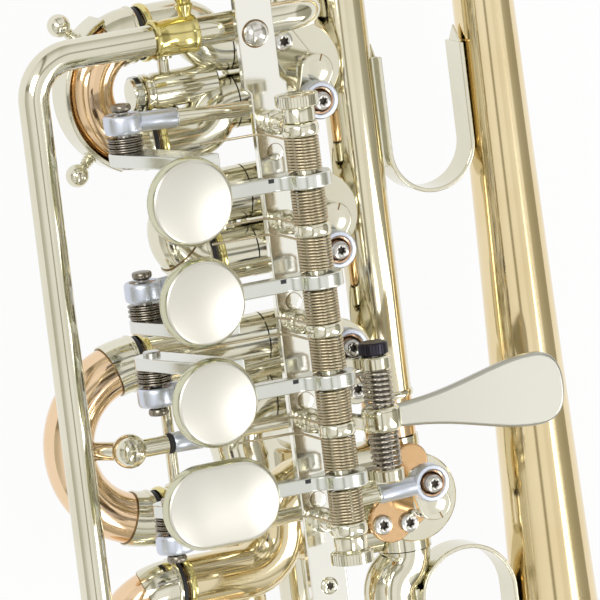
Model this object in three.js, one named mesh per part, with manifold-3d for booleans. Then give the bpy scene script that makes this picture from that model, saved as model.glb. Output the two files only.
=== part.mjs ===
// A four valve rotary trumpet, built up from its separate pieces.
// Units are millimetres. X points along the bell towards the rim, Y to the player's left, Z up.
// Z = 0 is the plane in which the air tubes lie, Y = 0 the row of the first three valves,
// and X = 0 the middle post of the lever rack.
import * as THREE from 'three';
import { mergeVertices } from 'three/addons/utils/BufferGeometryUtils.js';
import Module from 'manifold-3d';

const wasm = await Module();
wasm.setup();

// Fits and overruns
const GAP = 0.3; // between pieces that touch or are soldered together
const RUN = 0.35; // running clearance of a turning or sliding piece
const CUT = 1; // how far a cutting tool runs past a face

// Tubes
const TUBE_R = 6.2; // outside radius of the main tubing
const BORE_R = 5.5; // its bore
const OUTER_R = 6.6; // outer slide tubes
const OUTER_BORE = 6.0;
const LEG_R = 5.7; // inner slide legs
const LEG_BORE = 4.9;
const BOW_R = 6.15; // slide bows
const BOW_BORE = 5.3;
const END_RING_R = 7.1; // rings at the tube ends
const END_RING_W = 2.6;
const TUBE_SIDES = 8;
const BORE_SIDES = 6; // air channels of valves
const ROUND_SIDES = 10; // casings, caps, hubs and other larger round pieces
const PIN_SIDES = 8;

// Valves
const ROTOR_PITCH = 36.1;
const ROTOR_MID_X = -1.75; // middle of the valve row
const VALVE4_Y = 16.6; // the fourth valve sits in line with the leadpipe
const CASING_R = 10;
const CASING_H = 22;
const CASING_WALL = 1.1;
const FLANGE_R = 10.8;
const FLANGE_H = 1.6;
const TOP_WALL = 2.5;
const BOSS_R = 4.2;
const BOSS_TOP = 19.9;
const SPINDLE_R = 2.3;
const STUB_R = 6.7; // the short necks that the tubes are soldered to
const STUB_REACH = 13.8; // from the valve axis
const SLIDE_PORT_X = 7; // slide ports stand this far either side of the valve axis
const CHANNEL_R = 4.6; // air channels in the rotor
const LOBE_R = 3.8; // the gold brass plate that carries the two stop bumpers
const LOBE_REACH = 8;
const LOBE_TURN_DEG = 30;
const LOBE_T = 2;
const CAP_T = 3.4;
const CAP_NUB_R = 3;
const CAP_NUB_H = 1.3;

// Stop arms and links
const ARM_R = 6.7; // rotor axis to link screw
const ARM_REST_DEG = -22.5; // direction of the arm at rest, measured from the X axis
const ARM_T = 2.2;
const ARM_BOTTOM = BOSS_TOP + 2 * RUN;
const ARM_HUB_R = 4.2;
const ARM_END_R = 3.2;
const LINK_Z = 27; // height of the links at rest
const RING_R = 4.5; // ball joint housings at both ends of a link
const RING_T = 4.7;
const SHANK_R = 2.2;
const SHANK_L = 10; // from the ring centre
const LINK_ROD_R = 1.8;
const STUD_R = 1.6;
const STUD_FOOT = 0.9; // how far the ball stud reaches below the ring
const SCREW_HEAD_R = 2.2;
const SCREW_HEAD_H = 1.4;

// Lever rack
const LEVER_PITCH = 24;
const SHAFT_Y = -18.4;
const SHAFT_Z = 53;
const SHAFT_R = 2.4;
const COLLAR_R = 4.3;
const COLLAR_W = 3;
const POST_R = 2.7;
const RAIL_DROP = 17; // shaft axis to the middle of the rail
const RAIL_W = 9;
const RAIL_T = 2.5;
const RAIL_BACK = 90;
const RAIL_FRONT = 101;
const BRACKET_T = 3;
const BRACKET_W = 8; // along the rail
const WING_HALF = 4; // half the height of the rear bracket's wing
const FRONT_BRACKET_X = 85;
const SEAT_R = 4; // boss below the rail that the hand rail is seated against
const KNURL_R = 5.2;
const KNURL_W = 3.1;
const NUT_R = 3.9;
const NUT_W = 3.6;

// Levers, measured from the shaft axis
const LEVER_T = 3.5;
const EYE_R = 6;
const LEVER_REACH = 34;
const LEVER_TOP = 0.6; // top of the bar below the touchpiece
const LEVER_DEPTH = 3.8;
const BOLT_BACK = 34; // link bolt: this far towards the player's right
const BOLT_DROP = SHAFT_Z - LINK_Z; // and this far down
const BOLT_R = 1.6;
const ARM_PLATE_T = 3.2;
const ARM_PLATE_END_R = 4.3;
const FOOT_NEAR = 21; // the foot that carries the lower arm, from the shaft
const FOOT_FAR = 29.5;
const FOOT_T = 2.6;
const STACK_R = 3.7;
const LINK_STANDOFF = 8.2; // lower arm to link, along X
const ARM_OFFSETS = [-8.3, 7.9, -7.2, 4.4]; // lower arm from its lever, along X
const LINK_SIDES = [-1, -1, 1, 1]; // side of the arm on which the link hangs

// Touchpieces
const PAD_R = 10.7;
const PAD_T = 3.4;
const PAD_DOME = 0.7;
const PAD_BACK = 30.5; // from the shaft axis
const PAD4_HALF = 4.6; // half the straight stretch of the oblong fourth touchpiece
const PAD4_R = 10.2;
const PAD4_BACK = 32;
const PAD_SIDES = 14;
const PAD_SHARES = [[0.9, 0], [1, 0.35], [1, 0.7]]; // outline of the skirt, as shares of radius and height
const PAD_CROWN_SHARE = 0.6;

// Springs of the levers
const SPRING_R = 3.9; // to the middle of the wire
const WIRE_R = 0.21;
const SPRING_TURNS = 5.5;
const SPRING_STEPS = 8;
const WIRE_SIDES = 5;
const SPRING_ROOM = 0.45; // free space at each end of a coil
const SPRING_LEG = 17;
const THUMB_TURNS = 3.5;

// Slides: end of the outer tubes and start of the bow, along Y
const SLIDE1_HALF = 13;
const SLIDE1_END = -35.2;
const SLIDE1_BEND_L = 12;
const SLIDE2_END = -24;
const SLIDE3_FAR_X = 47;
const SLIDE3_END = -45.4;
const SLIDE3_BEND_L = 17.5;
const SLIDE4_NEAR_X = 64.5;
const SLIDE4_FAR_X = 84;
const SLIDE4_DROP = 14;
const SLIDE4_END = -42;
const SEAT_GAP = 1.8; // room for the bumper ring between outer tube and bow ferrule
const FERRULE_R = 6.7;
const LEG_REACH = 9; // how far a leg stands in its outer tube
const LEG3_REACH = 14;
const STAY_R = 1.4;
const BOW_STEPS = 7;
const SLIDE4_DROP_L = 16;
const SLIDE4_NEAR_L = 20;
const SLIDE4_STRAIGHT = 8;
const SLIDE4_FAR_L = 18;
const GUARD_T = 1.2; // strip bent round the outside of the first slide's bow
const GUARD_W = 9;
const GUARD_HALF_DEG = 66;
const FINIAL_AT_DEG = 45; // a ball finial stands on the strip at this angle either side of its middle
const FINIAL_R = 2.4;
const FINIAL_NECK = 2.6;

// Bell, leadpipe and main tuning slide
const BELL_Y = 54.1;
const BELL_RIM_X = 300;
const BELL_RIM_R = 63.5;
const BELL_FOCUS = 17.7; // the horn law: radius = rim radius * (focus / (focus + distance)) ^ power
const BELL_POWER = 0.7;
const BELL_WALL = 0.7;
const BELL_TAIL_X = -120;
const BEAD_R = 1.5;
const BELL_SEGMENTS = 16;
const BELL_STATIONS = 10;
const BEAD_STEPS = 3;
const BELL_BOW_R = 6.7;
const EXIT_DROP = 21; // the bow passes below the leadpipe
const EXIT_DROP_L = 28;
const EXIT_STRAIGHT = 22;
const RECEIVER_BACK = -192;
const RECEIVER_L = 34;
const RECEIVER_R = 6.1;
const RECEIVER_BORE = 4.9;
const RECEIVER_RING_R = 7.4;
const LEADPIPE_R = 4.9; // at the receiver
const LEADPIPE_FULL_X = -105; // from here on it has the full radius
const LEADPIPE_SLEEVE_X = 29; // the nickel silver sleeve ends here
const SLEEVE_R = 6.35;
const TUNE_HIGH_Y = 11.5;
const OUTLET_STEP_L = 10.5;
const TUNE_TUBE_END = 140;
const TUNE_TUBE_START = 96;
const TUNE_LEG_REACH = 34;
const RETURN_BEND_R = 7.5;
const RETURN_DROP = 11;
const SHORT_REACH = 10.5; // neck of the third valve towards the tight elbow of the return

// Hand rail
const HAND_R = 3.65;
const HAND_Y = -74.3;
const HAND_Z = 28;
const HAND_BACK_X = -71;
const HAND_FRONT_X = 96;
const HAND_BEND = 10;
const HAND_SLEEVE_R = 4.7;
const HAND_SLEEVE_Y = -37.5;
const HAND_SLEEVE_L = 11;
const HAND_FOOT_R = 2;

// Thumb lever
const THUMB_Y = -1.1;
const THUMB_Z = 39;
const THUMB_X = 26.4;
const THUMB_AXLE_R = 1.7;
const THUMB_HUB_R = 4;
const THUMB_HUB_W = 6;
const THUMB_HALF = 13.6; // half the distance between the bracket ears
const THUMB_EAR_W = 3.2;
const THUMB_EAR_R = 3.9;
const PADDLE_L = 47.5;
const PADDLE_NECK = 2.7; // half widths of the paddle
const PADDLE_WIDE = 8.8;
const PADDLE_T = 2.4;
const PADDLE_WAIST_SHARE = 0.4; // control points of the paddle's outline, as shares of its length
const PADDLE_HIP_SHARE = 0.6;
const PADDLE_SHOULDER_SHARE = 0.84;
const PADDLE_CROWN_SHARE = 0.96;
const THUMB_ARM_LEAN = 5.8; // how far the lower arm leans to the right at its tip
const THUMB_ARM_DROP = 31.5;
const TRIGGER_Z = 10;
const TRIGGER_ROD_R = 2.5;
const TRIGGER_BALL_R = 4;
const TRIGGER_BALL_Y = -54.5;
const TRIGGER_END_Y = -8.9;

// Straps between leadpipe and bell
const STRAP_W = 9;
const STRAP_T = 1.1;
const STRAP_REAR_X = -30; // where the feet run into the bend
const STRAP_FRONT_X = 80.2;
const STRAP_REAR_FOOT = 27;
const STRAP_FRONT_FOOT = 12;

const GOLD_BRASS = { color: 0xd39a5c, metalness: 1, roughness: 0.16 };
const NICKEL = { color: 0xd9d6c2, metalness: 1, roughness: 0.18 };
const YELLOW_BRASS = { color: 0xcdb866, metalness: 1, roughness: 0.22 };
const BELL_BRASS = { color: 0xdcc28a, metalness: 1, roughness: 0.14 };
const SILVER = { color: 0xf2f0ea, metalness: 1, roughness: 0.2 };
const STEEL = { color: 0xaab0bc, metalness: 1, roughness: 0.32 };
const SPRING_WIRE = { color: 0x8a7a60, metalness: 1, roughness: 0.35 };

const V = (x, y, z) => new THREE.Vector3(x, y, z);
const X_AXIS = V(1, 0, 0);
const Y_AXIS = V(0, 1, 0);
const Z_AXIS = V(0, 0, 1);
const TO_RIGHT = V(0, -1, 0);
const DOWN = V(0, 0, -1);
const RIGHT_ANGLE = Math.PI / 2;

const trumpet = new THREE.Group();

function add(name, geometry, look) {
  const mesh = new THREE.Mesh(geometry, new THREE.MeshStandardMaterial(look));
  mesh.name = name;
  trumpet.add(mesh);
  return mesh;
}

// Solids for cutting and joining
function solid(geometry) {
  let g = geometry.index ? geometry.toNonIndexed() : geometry.clone();
  g.deleteAttribute('normal');
  g.deleteAttribute('uv');
  g = mergeVertices(g, 1e-5);
  const mesh = new wasm.Mesh({
    numProp: 3,
    vertProperties: new Float32Array(g.attributes.position.array),
    triVerts: new Uint32Array(g.index.array),
  });
  return new wasm.Manifold(mesh);
}

function shell(manifold) {
  const mesh = manifold.getMesh();
  const g = new THREE.BufferGeometry();
  g.setAttribute('position', new THREE.BufferAttribute(new Float32Array(mesh.vertProperties), 3));
  g.setIndex(new THREE.BufferAttribute(new Uint32Array(mesh.triVerts), 1));
  g.computeVertexNormals();
  return g;
}

const join = (...geometries) => shell(geometries.map(solid).reduce((a, b) => a.add(b)));
const cut = (geometry, ...tools) => shell(tools.map(solid).reduce((a, b) => a.subtract(b), solid(geometry)));

// A rod or disc from one point to another
function rod(from, to, radius, sides = TUBE_SIDES, endRadius = radius) {
  const along = to.clone().sub(from);
  const g = new THREE.CylinderGeometry(endRadius, radius, along.length(), sides);
  g.applyQuaternion(new THREE.Quaternion().setFromUnitVectors(Y_AXIS, along.clone().normalize()));
  const middle = from.clone().add(to).multiplyScalar(0.5);
  return g.translate(middle.x, middle.y, middle.z);
}

// A turned piece: profile points are [radius, distance along the axis]
function turned(profile, segments, axis, at) {
  const g = new THREE.LatheGeometry(profile.map(([r, l]) => new THREE.Vector2(r, l)), segments);
  g.applyQuaternion(new THREE.Quaternion().setFromUnitVectors(Y_AXIS, axis));
  return g.translate(at.x, at.y, at.z);
}

function ring(outer, bore, length, axis, at, sides = TUBE_SIDES) {
  return turned([[bore, 0], [outer, 0], [outer, length], [bore, length], [bore, 0]], sides, axis, at);
}

// A flat plate: the outline is drawn in two axes and thickened along the third
function plate(shape, thickness, basisX, basisY, at, curveSegments = 6) {
  const g = new THREE.ExtrudeGeometry(shape, { depth: thickness, bevelEnabled: false, curveSegments });
  const basisZ = basisX.clone().cross(basisY);
  g.applyMatrix4(new THREE.Matrix4().makeBasis(basisX, basisY, basisZ));
  return g.translate(at.x, at.y, at.z);
}

// The route of a tube in straight stretches and bends. It keeps the outside and the bore apart,
// so that either can step to another radius along the way.
class Route {
  constructor(start, direction, outer, bore = 0) {
    this.at = start.clone();
    this.heading = direction.clone().normalize();
    this.outer = outer;
    this.bore = bore;
    this.skin = [];
    this.hole = [];
    this.mark();
  }

  mark() {
    const station = { p: this.at.clone(), t: this.heading.clone() };
    this.skin.push({ ...station, r: this.outer });
    this.hole.push({ ...station, r: this.bore });
    return this;
  }

  // Change the outside, or both radii, at the point reached
  step(outer, bore = this.bore) {
    this.outer = outer;
    this.skin.push({ p: this.at.clone(), t: this.heading.clone(), r: outer });
    if (bore !== this.bore) this.hole.push({ p: this.at.clone(), t: this.heading.clone(), r: bore });
    this.bore = bore;
    return this;
  }

  straight(length) {
    this.at.addScaledVector(this.heading, length);
    return this.mark();
  }

  // Turn by an angle towards a direction, on a radius
  bend(towards, radius, angle, steps) {
    const plane = this.heading.clone().cross(towards).normalize();
    const side = plane.clone().cross(this.heading);
    const centre = this.at.clone().addScaledVector(side, radius);
    for (let i = 0; i < steps; i += 1) {
      const turn = new THREE.Quaternion().setFromAxisAngle(plane, angle / steps);
      this.at.sub(centre).applyQuaternion(turn).add(centre);
      this.heading.applyQuaternion(turn);
      this.mark();
    }
    return this;
  }

  // Step aside by a distance within a length, on two equal bends
  sidestep(towards, distance, length, steps) {
    const radius = (distance * distance + length * length) / (4 * distance);
    const angle = 2 * Math.atan2(distance, length);
    const back = this.heading.clone();
    this.bend(towards, radius, angle, steps);
    return this.bend(back, radius, angle, steps);
  }
}

// A closed tube or rod along a route; the normal is a direction in which its section has a corner
function tube(route, normal = Z_AXIS, sides = TUBE_SIDES) {
  const positions = [];
  const index = [];
  const skinEnd = route.skin.length;
  const loops = [...route.skin, ...route.hole];
  let n = normal.clone();
  loops.forEach(({ p, t, r }, i) => {
    if (i === 0 || i === skinEnd) n = normal.clone();
    else n.applyQuaternion(new THREE.Quaternion().setFromUnitVectors(loops[i - 1].t, t));
    const side = t.clone().cross(n);
    for (let k = 0; k < sides; k += 1) {
      const a = 2 * Math.PI * k / sides;
      const q = p.clone().addScaledVector(n, r * Math.cos(a)).addScaledVector(side, r * Math.sin(a));
      positions.push(q.x, q.y, q.z);
    }
  });
  const strip = (from, to) => {
    for (let k = 0; k < sides; k += 1) {
      const next = (k + 1) % sides;
      index.push(from * sides + k, from * sides + next, to * sides + k);
      index.push(from * sides + next, to * sides + next, to * sides + k);
    }
  };
  const last = loops.length - 1;
  for (let i = 1; i < skinEnd; i += 1) strip(i - 1, i);
  if (route.bore > 0) {
    for (let i = skinEnd + 1; i <= last; i += 1) strip(i, i - 1);
    strip(skinEnd, 0);
    strip(skinEnd - 1, last);
  } else {
    for (let k = 1; k < sides - 1; k += 1) {
      index.push(0, k + 1, k);
      index.push((skinEnd - 1) * sides, (skinEnd - 1) * sides + k, (skinEnd - 1) * sides + k + 1);
    }
    positions.length = skinEnd * sides * 3;
  }
  const g = new THREE.BufferGeometry();
  g.setAttribute('position', new THREE.Float32BufferAttribute(positions, 3));
  g.setIndex(index);
  g.computeVertexNormals();
  return g;
}

// A round wire through a list of points, closed at both ends
function wire(points, radius, sides) {
  const positions = [];
  const index = [];
  let normal = null;
  points.forEach((p, i) => {
    const before = points[Math.max(i - 1, 0)];
    const after = points[Math.min(i + 1, points.length - 1)];
    const tangent = after.clone().sub(before).normalize();
    if (!normal) normal = Math.abs(tangent.x) < 1 / 2 ? X_AXIS.clone() : Z_AXIS.clone();
    normal.addScaledVector(tangent, -normal.dot(tangent)).normalize();
    const side = tangent.clone().cross(normal);
    for (let k = 0; k < sides; k += 1) {
      const a = 2 * Math.PI * k / sides;
      const q = p.clone().addScaledVector(normal, radius * Math.cos(a));
      q.addScaledVector(side, radius * Math.sin(a));
      positions.push(q.x, q.y, q.z);
    }
  });
  const last = points.length - 1;
  for (let i = 0; i < last; i += 1) {
    for (let k = 0; k < sides; k += 1) {
      const a = i * sides + k;
      const b = i * sides + (k + 1) % sides;
      index.push(a, b, a + sides, b, b + sides, a + sides);
    }
  }
  for (let k = 1; k < sides - 1; k += 1) {
    index.push(0, k + 1, k);
    index.push(last * sides, last * sides + k, last * sides + k + 1);
  }
  const g = new THREE.BufferGeometry();
  g.setAttribute('position', new THREE.Float32BufferAttribute(positions, 3));
  g.setIndex(index);
  g.computeVertexNormals();
  return g;
}

// The least free gap that a wire keeps to itself, measured between points more than a turn apart
function leastGap(points, radius, apart) {
  let least = Infinity;
  for (let i = 0; i < points.length; i += 1) {
    for (let k = i + apart; k < points.length; k += 1) {
      least = Math.min(least, points[i].distanceTo(points[k]) - 2 * radius);
    }
  }
  return least;
}

const leverX = (i) => (i - 1.5) * LEVER_PITCH;
const rotorX = (i) => ROTOR_MID_X + (i - 1.5) * ROTOR_PITCH;
const rotorY = (i) => (i === 3 ? VALVE4_Y : 0);
const armSide = (i) => (i < 2 ? 1 : -1);
const VALVES = [0, 1, 2, 3];

// Bell: a hollow horn that follows one law from tail to rim, with a rolled bead at the rim
function bellRadius(x) {
  return BELL_RIM_R * (BELL_FOCUS / (BELL_FOCUS + BELL_RIM_X - x)) ** BELL_POWER;
}

function makeBell() {
  const far = BELL_FOCUS + BELL_RIM_X - BELL_TAIL_X;
  const outside = [];
  for (let i = 0; i <= BELL_STATIONS; i += 1) {
    const distance = far * (BELL_FOCUS / far) ** (i / BELL_STATIONS);
    const x = BELL_FOCUS + BELL_RIM_X - distance;
    outside.push([bellRadius(x), x]);
  }
  const inside = outside.map(([r, x]) => [r - BELL_WALL, x]).reverse();
  const [rimR, rimX] = outside.pop();
  inside.shift();
  const bead = [];
  for (let i = 0; i <= BEAD_STEPS; i += 1) {
    const a = -RIGHT_ANGLE + i * Math.PI / BEAD_STEPS;
    bead.push([rimR + BEAD_R * Math.cos(a), rimX + BEAD_R * Math.sin(a)]);
  }
  const profile = [...outside, ...bead, ...inside];
  profile.push(profile[0]);
  return turned(profile, BELL_SEGMENTS, X_AXIS, V(0, BELL_Y, 0));
}

add('bell', makeBell(), BELL_BRASS);

// Bell bow: from the first valve back, down below the leadpipe, round, and into the tail of the bell
function makeBellBow() {
  const tail = BELL_TAIL_X - GAP;
  const route = new Route(V(rotorX(0) - STUB_REACH - GAP, 0, 0), V(-1, 0, 0), BELL_BOW_R, BORE_R);
  route.straight(EXIT_STRAIGHT);
  route.sidestep(DOWN, EXIT_DROP, EXIT_DROP_L, 2);
  route.straight(route.at.x - tail);
  const across = V(0, BELL_Y, EXIT_DROP);
  route.bend(across, across.length() / 2, Math.PI, 8);
  route.step(bellRadius(BELL_TAIL_X) + GAP);
  route.at.x = tail - 2 * END_RING_W;
  return tube(route);
}

add('bell_bow', makeBellBow(), GOLD_BRASS);

// Leadpipe: straight, tapered behind, with a sleeve along the valves, up to the fourth valve
const leadEnd = rotorX(3) - STUB_REACH - GAP;
const receiverFront = RECEIVER_BACK + RECEIVER_L;

function makeLeadpipe() {
  const start = receiverFront - RECEIVER_L / 3;
  const back = RECEIVER_BORE - GAP - GAP;
  return turned([
    [back - (TUBE_R - BORE_R), start], [back, start], [back, receiverFront + GAP],
    [LEADPIPE_R, receiverFront + GAP], [TUBE_R, LEADPIPE_FULL_X], [SLEEVE_R, LEADPIPE_FULL_X],
    [SLEEVE_R, LEADPIPE_SLEEVE_X], [TUBE_R, LEADPIPE_SLEEVE_X], [TUBE_R, leadEnd],
    [BORE_R, leadEnd], [BORE_R, LEADPIPE_FULL_X], [back - (TUBE_R - BORE_R), start],
  ], TUBE_SIDES, X_AXIS, V(0, VALVE4_Y, 0));
}

add('leadpipe', makeLeadpipe(), NICKEL);

// Mouthpiece receiver: a socket with a ring at its mouth and a bead in the middle
function makeReceiver() {
  const mid = RECEIVER_BACK + RECEIVER_L / 2;
  return turned([
    [RECEIVER_BORE, RECEIVER_BACK], [RECEIVER_RING_R, RECEIVER_BACK],
    [RECEIVER_RING_R, RECEIVER_BACK + END_RING_W], [RECEIVER_R, RECEIVER_BACK + END_RING_W],
    [RECEIVER_R, mid - END_RING_W], [RECEIVER_RING_R, mid], [RECEIVER_R, mid + END_RING_W],
    [RECEIVER_R, receiverFront], [RECEIVER_BORE, receiverFront], [RECEIVER_BORE, RECEIVER_BACK],
  ], TUBE_SIDES, X_AXIS, V(0, VALVE4_Y, 0));
}

add('mouthpiece_receiver', makeReceiver(), NICKEL);

// Valve casings: a cup open below, with four necks and the bearing boss on top
function makeCasing(i) {
  const x = rotorX(i);
  const y = rotorY(i);
  const half = CASING_H / 2;
  const at = (dx, dy, z) => V(x + dx, y + dy, z);
  const body = rod(at(0, 0, -half), at(0, 0, half - FLANGE_H), CASING_R, ROUND_SIDES);
  const flange = rod(at(0, 0, half - FLANGE_H), at(0, 0, half), FLANGE_R, ROUND_SIDES);
  const boss = rod(at(0, 0, half - CUT), at(0, 0, BOSS_TOP), BOSS_R, PIN_SIDES);
  const necks = [
    rod(at(-STUB_REACH, 0, 0), at(-CASING_R / 2, 0, 0), STUB_R),
    rod(at(CASING_R / 2, 0, 0), at(i === 2 ? SHORT_REACH : STUB_REACH, 0, 0), STUB_R),
    rod(at(-SLIDE_PORT_X, -STUB_REACH, 0), at(-SLIDE_PORT_X, -TUBE_R - GAP, 0), STUB_R),
    rod(at(SLIDE_PORT_X, -TUBE_R - GAP, 0), at(SLIDE_PORT_X, -STUB_REACH, 0), STUB_R),
  ];
  const lobes = new THREE.Shape();
  const waist = BOSS_R;
  lobes.moveTo(-LOBE_REACH, -LOBE_R);
  lobes.lineTo(0, -waist);
  lobes.lineTo(LOBE_REACH, -LOBE_R);
  lobes.absarc(LOBE_REACH, 0, LOBE_R, -RIGHT_ANGLE, RIGHT_ANGLE, false);
  lobes.lineTo(0, waist);
  lobes.lineTo(-LOBE_REACH, LOBE_R);
  lobes.absarc(-LOBE_REACH, 0, LOBE_R, RIGHT_ANGLE, RIGHT_ANGLE + Math.PI, false);
  const lobeAxis = X_AXIS.clone().applyAxisAngle(Z_AXIS, LOBE_TURN_DEG * Math.PI / 180);
  const across = Z_AXIS.clone().cross(lobeAxis);
  const stopPlate = plate(lobes, LOBE_T + GAP, lobeAxis, across, at(0, 0, half - GAP), 3);
  const inside = rod(at(0, 0, -half - CUT), at(0, 0, half - TOP_WALL), CASING_R - CASING_WALL, ROUND_SIDES);
  const bearing = rod(at(0, 0, 0), at(0, 0, BOSS_TOP + CUT), SPINDLE_R + RUN, PIN_SIDES);
  const through = rod(at(-STUB_REACH - CUT, 0, 0), at(STUB_REACH + CUT, 0, 0), CHANNEL_R, BORE_SIDES);
  const bores = [-SLIDE_PORT_X, SLIDE_PORT_X].map((dx) => (
    rod(at(dx, -STUB_REACH - CUT, 0), at(dx, 0, 0), CHANNEL_R, BORE_SIDES)));
  return cut(join(body, flange, boss, ...necks, stopPlate), inside, bearing, through, ...bores);
}

// Rotor: a cylinder with an air channel on each side and a spindle on top
function makeRotor(i) {
  const x = rotorX(i);
  const y = rotorY(i);
  const radius = (CASING_R - CASING_WALL) * Math.cos(Math.PI / ROUND_SIDES) - RUN;
  const top = CASING_H / 2 - TOP_WALL - RUN;
  const at = (dx, dy, z) => V(x + dx, y + dy, z);
  const body = rod(at(0, 0, -top), at(0, 0, top), radius, ROUND_SIDES);
  const spindle = rod(at(0, 0, 0), at(0, 0, BOSS_TOP + RUN), SPINDLE_R, PIN_SIDES);
  const offset = radius * Math.SQRT1_2;
  const channels = [1, -1].map((s) => rod(
    at(s * (offset * 2), 0, 0).addScaledVector(V(s, -s, 0), CUT),
    at(0, s * (offset * 2), 0).addScaledVector(V(-s, s, 0), CUT), CHANNEL_R, BORE_SIDES));
  return cut(join(body, spindle), ...channels);
}

// Screw cap below each casing, with its bearing plug inside
function makeCap(i) {
  const low = -CASING_H / 2 - GAP;
  const plug = CASING_R - CASING_WALL - GAP;
  const plugTop = -(CASING_H / 2 - TOP_WALL - RUN) - RUN;
  return turned([
    [0, low - CAP_T - CAP_NUB_H], [CAP_NUB_R, low - CAP_T - CAP_NUB_H], [CAP_NUB_R, low - CAP_T],
    [FLANGE_R - CAP_NUB_H, low - CAP_T], [FLANGE_R, low],
    [plug, low], [plug, plugTop], [0, plugTop],
  ], ROUND_SIDES, Z_AXIS, V(rotorX(i), rotorY(i), 0));
}

// Stop arm: clamps to the spindle and carries the link screw at its end
function linkEnd(i) {
  const a = ARM_REST_DEG * Math.PI / 180;
  return V(rotorX(i) + armSide(i) * ARM_R * Math.cos(a), rotorY(i) + ARM_R * Math.sin(a), LINK_Z);
}

function makeStopArm(i) {
  const end = linkEnd(i);
  const hub = V(rotorX(i), rotorY(i), ARM_BOTTOM);
  const along = V(end.x - hub.x, end.y - hub.y, 0).normalize();
  const across = Z_AXIS.clone().cross(along);
  const shape = new THREE.Shape();
  shape.absarc(0, 0, ARM_HUB_R, RIGHT_ANGLE, RIGHT_ANGLE + Math.PI, false);
  shape.absarc(ARM_R, 0, ARM_END_R, -RIGHT_ANGLE, RIGHT_ANGLE, false);
  const blade = plate(shape, ARM_T, along, across, hub, 4);
  const screw = rod(hub.clone().setZ(ARM_BOTTOM + ARM_T / 2), hub.clone().setZ(ARM_BOTTOM + ARM_T + GAP),
    STUD_R + GAP, PIN_SIDES);
  return join(blade, screw);
}

VALVES.forEach((i) => {
  add(`casing_${i + 1}`, makeCasing(i), NICKEL);
  add(`rotor_${i + 1}`, makeRotor(i), YELLOW_BRASS);
  add(`valve_cap_${i + 1}`, makeCap(i), NICKEL);
  add(`stop_arm_${i + 1}`, makeStopArm(i), NICKEL);
});

// Knuckles: the short tubes between neighbouring casings
[0, 1].forEach((i) => {
  const from = rotorX(i) + STUB_REACH + GAP;
  const length = ROTOR_PITCH - 2 * (STUB_REACH + GAP);
  add(`knuckle_${i + 1}${i + 2}`, ring(TUBE_R, BORE_R, length, X_AXIS, V(from, 0, 0)), GOLD_BRASS);
});

// Links: a rod between two ball joint housings
function linkStart(i) {
  const x = leverX(i) + ARM_OFFSETS[i] + LINK_SIDES[i] * LINK_STANDOFF;
  return V(x, SHAFT_Y - BOLT_BACK, LINK_Z);
}

function makeLink(i) {
  const from = linkStart(i);
  const to = linkEnd(i);
  const along = to.clone().sub(from).normalize();
  const half = V(RING_T / 2, 0, 0);
  const eye = rod(from.clone().sub(half), from.clone().add(half), RING_R);
  const low = to.z - RING_T / 2;
  const housing = rod(to.clone().setZ(low), to.clone().setZ(to.z + RING_T / 2), RING_R);
  const shankA = rod(from, from.clone().addScaledVector(along, SHANK_L), SHANK_R, PIN_SIDES);
  const shankB = rod(to, to.clone().addScaledVector(along, -SHANK_L), SHANK_R, PIN_SIDES);
  const middle = rod(from.clone().addScaledVector(along, RING_R), to.clone().addScaledVector(along, -RING_R),
    LINK_ROD_R, PIN_SIDES);
  const stud = rod(to.clone().setZ(low - STUD_FOOT), to, STUD_R, PIN_SIDES);
  const head = rod(to, to.clone().setZ(to.z + RING_T / 2 + SCREW_HEAD_H), SCREW_HEAD_R, PIN_SIDES);
  const bore = rod(from.clone().addScaledVector(half, -2), from.clone().addScaledVector(half, 2),
    BOLT_R + RUN, PIN_SIDES);
  return cut(join(eye, housing, shankA, shankB, middle, stud, head), bore);
}

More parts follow.
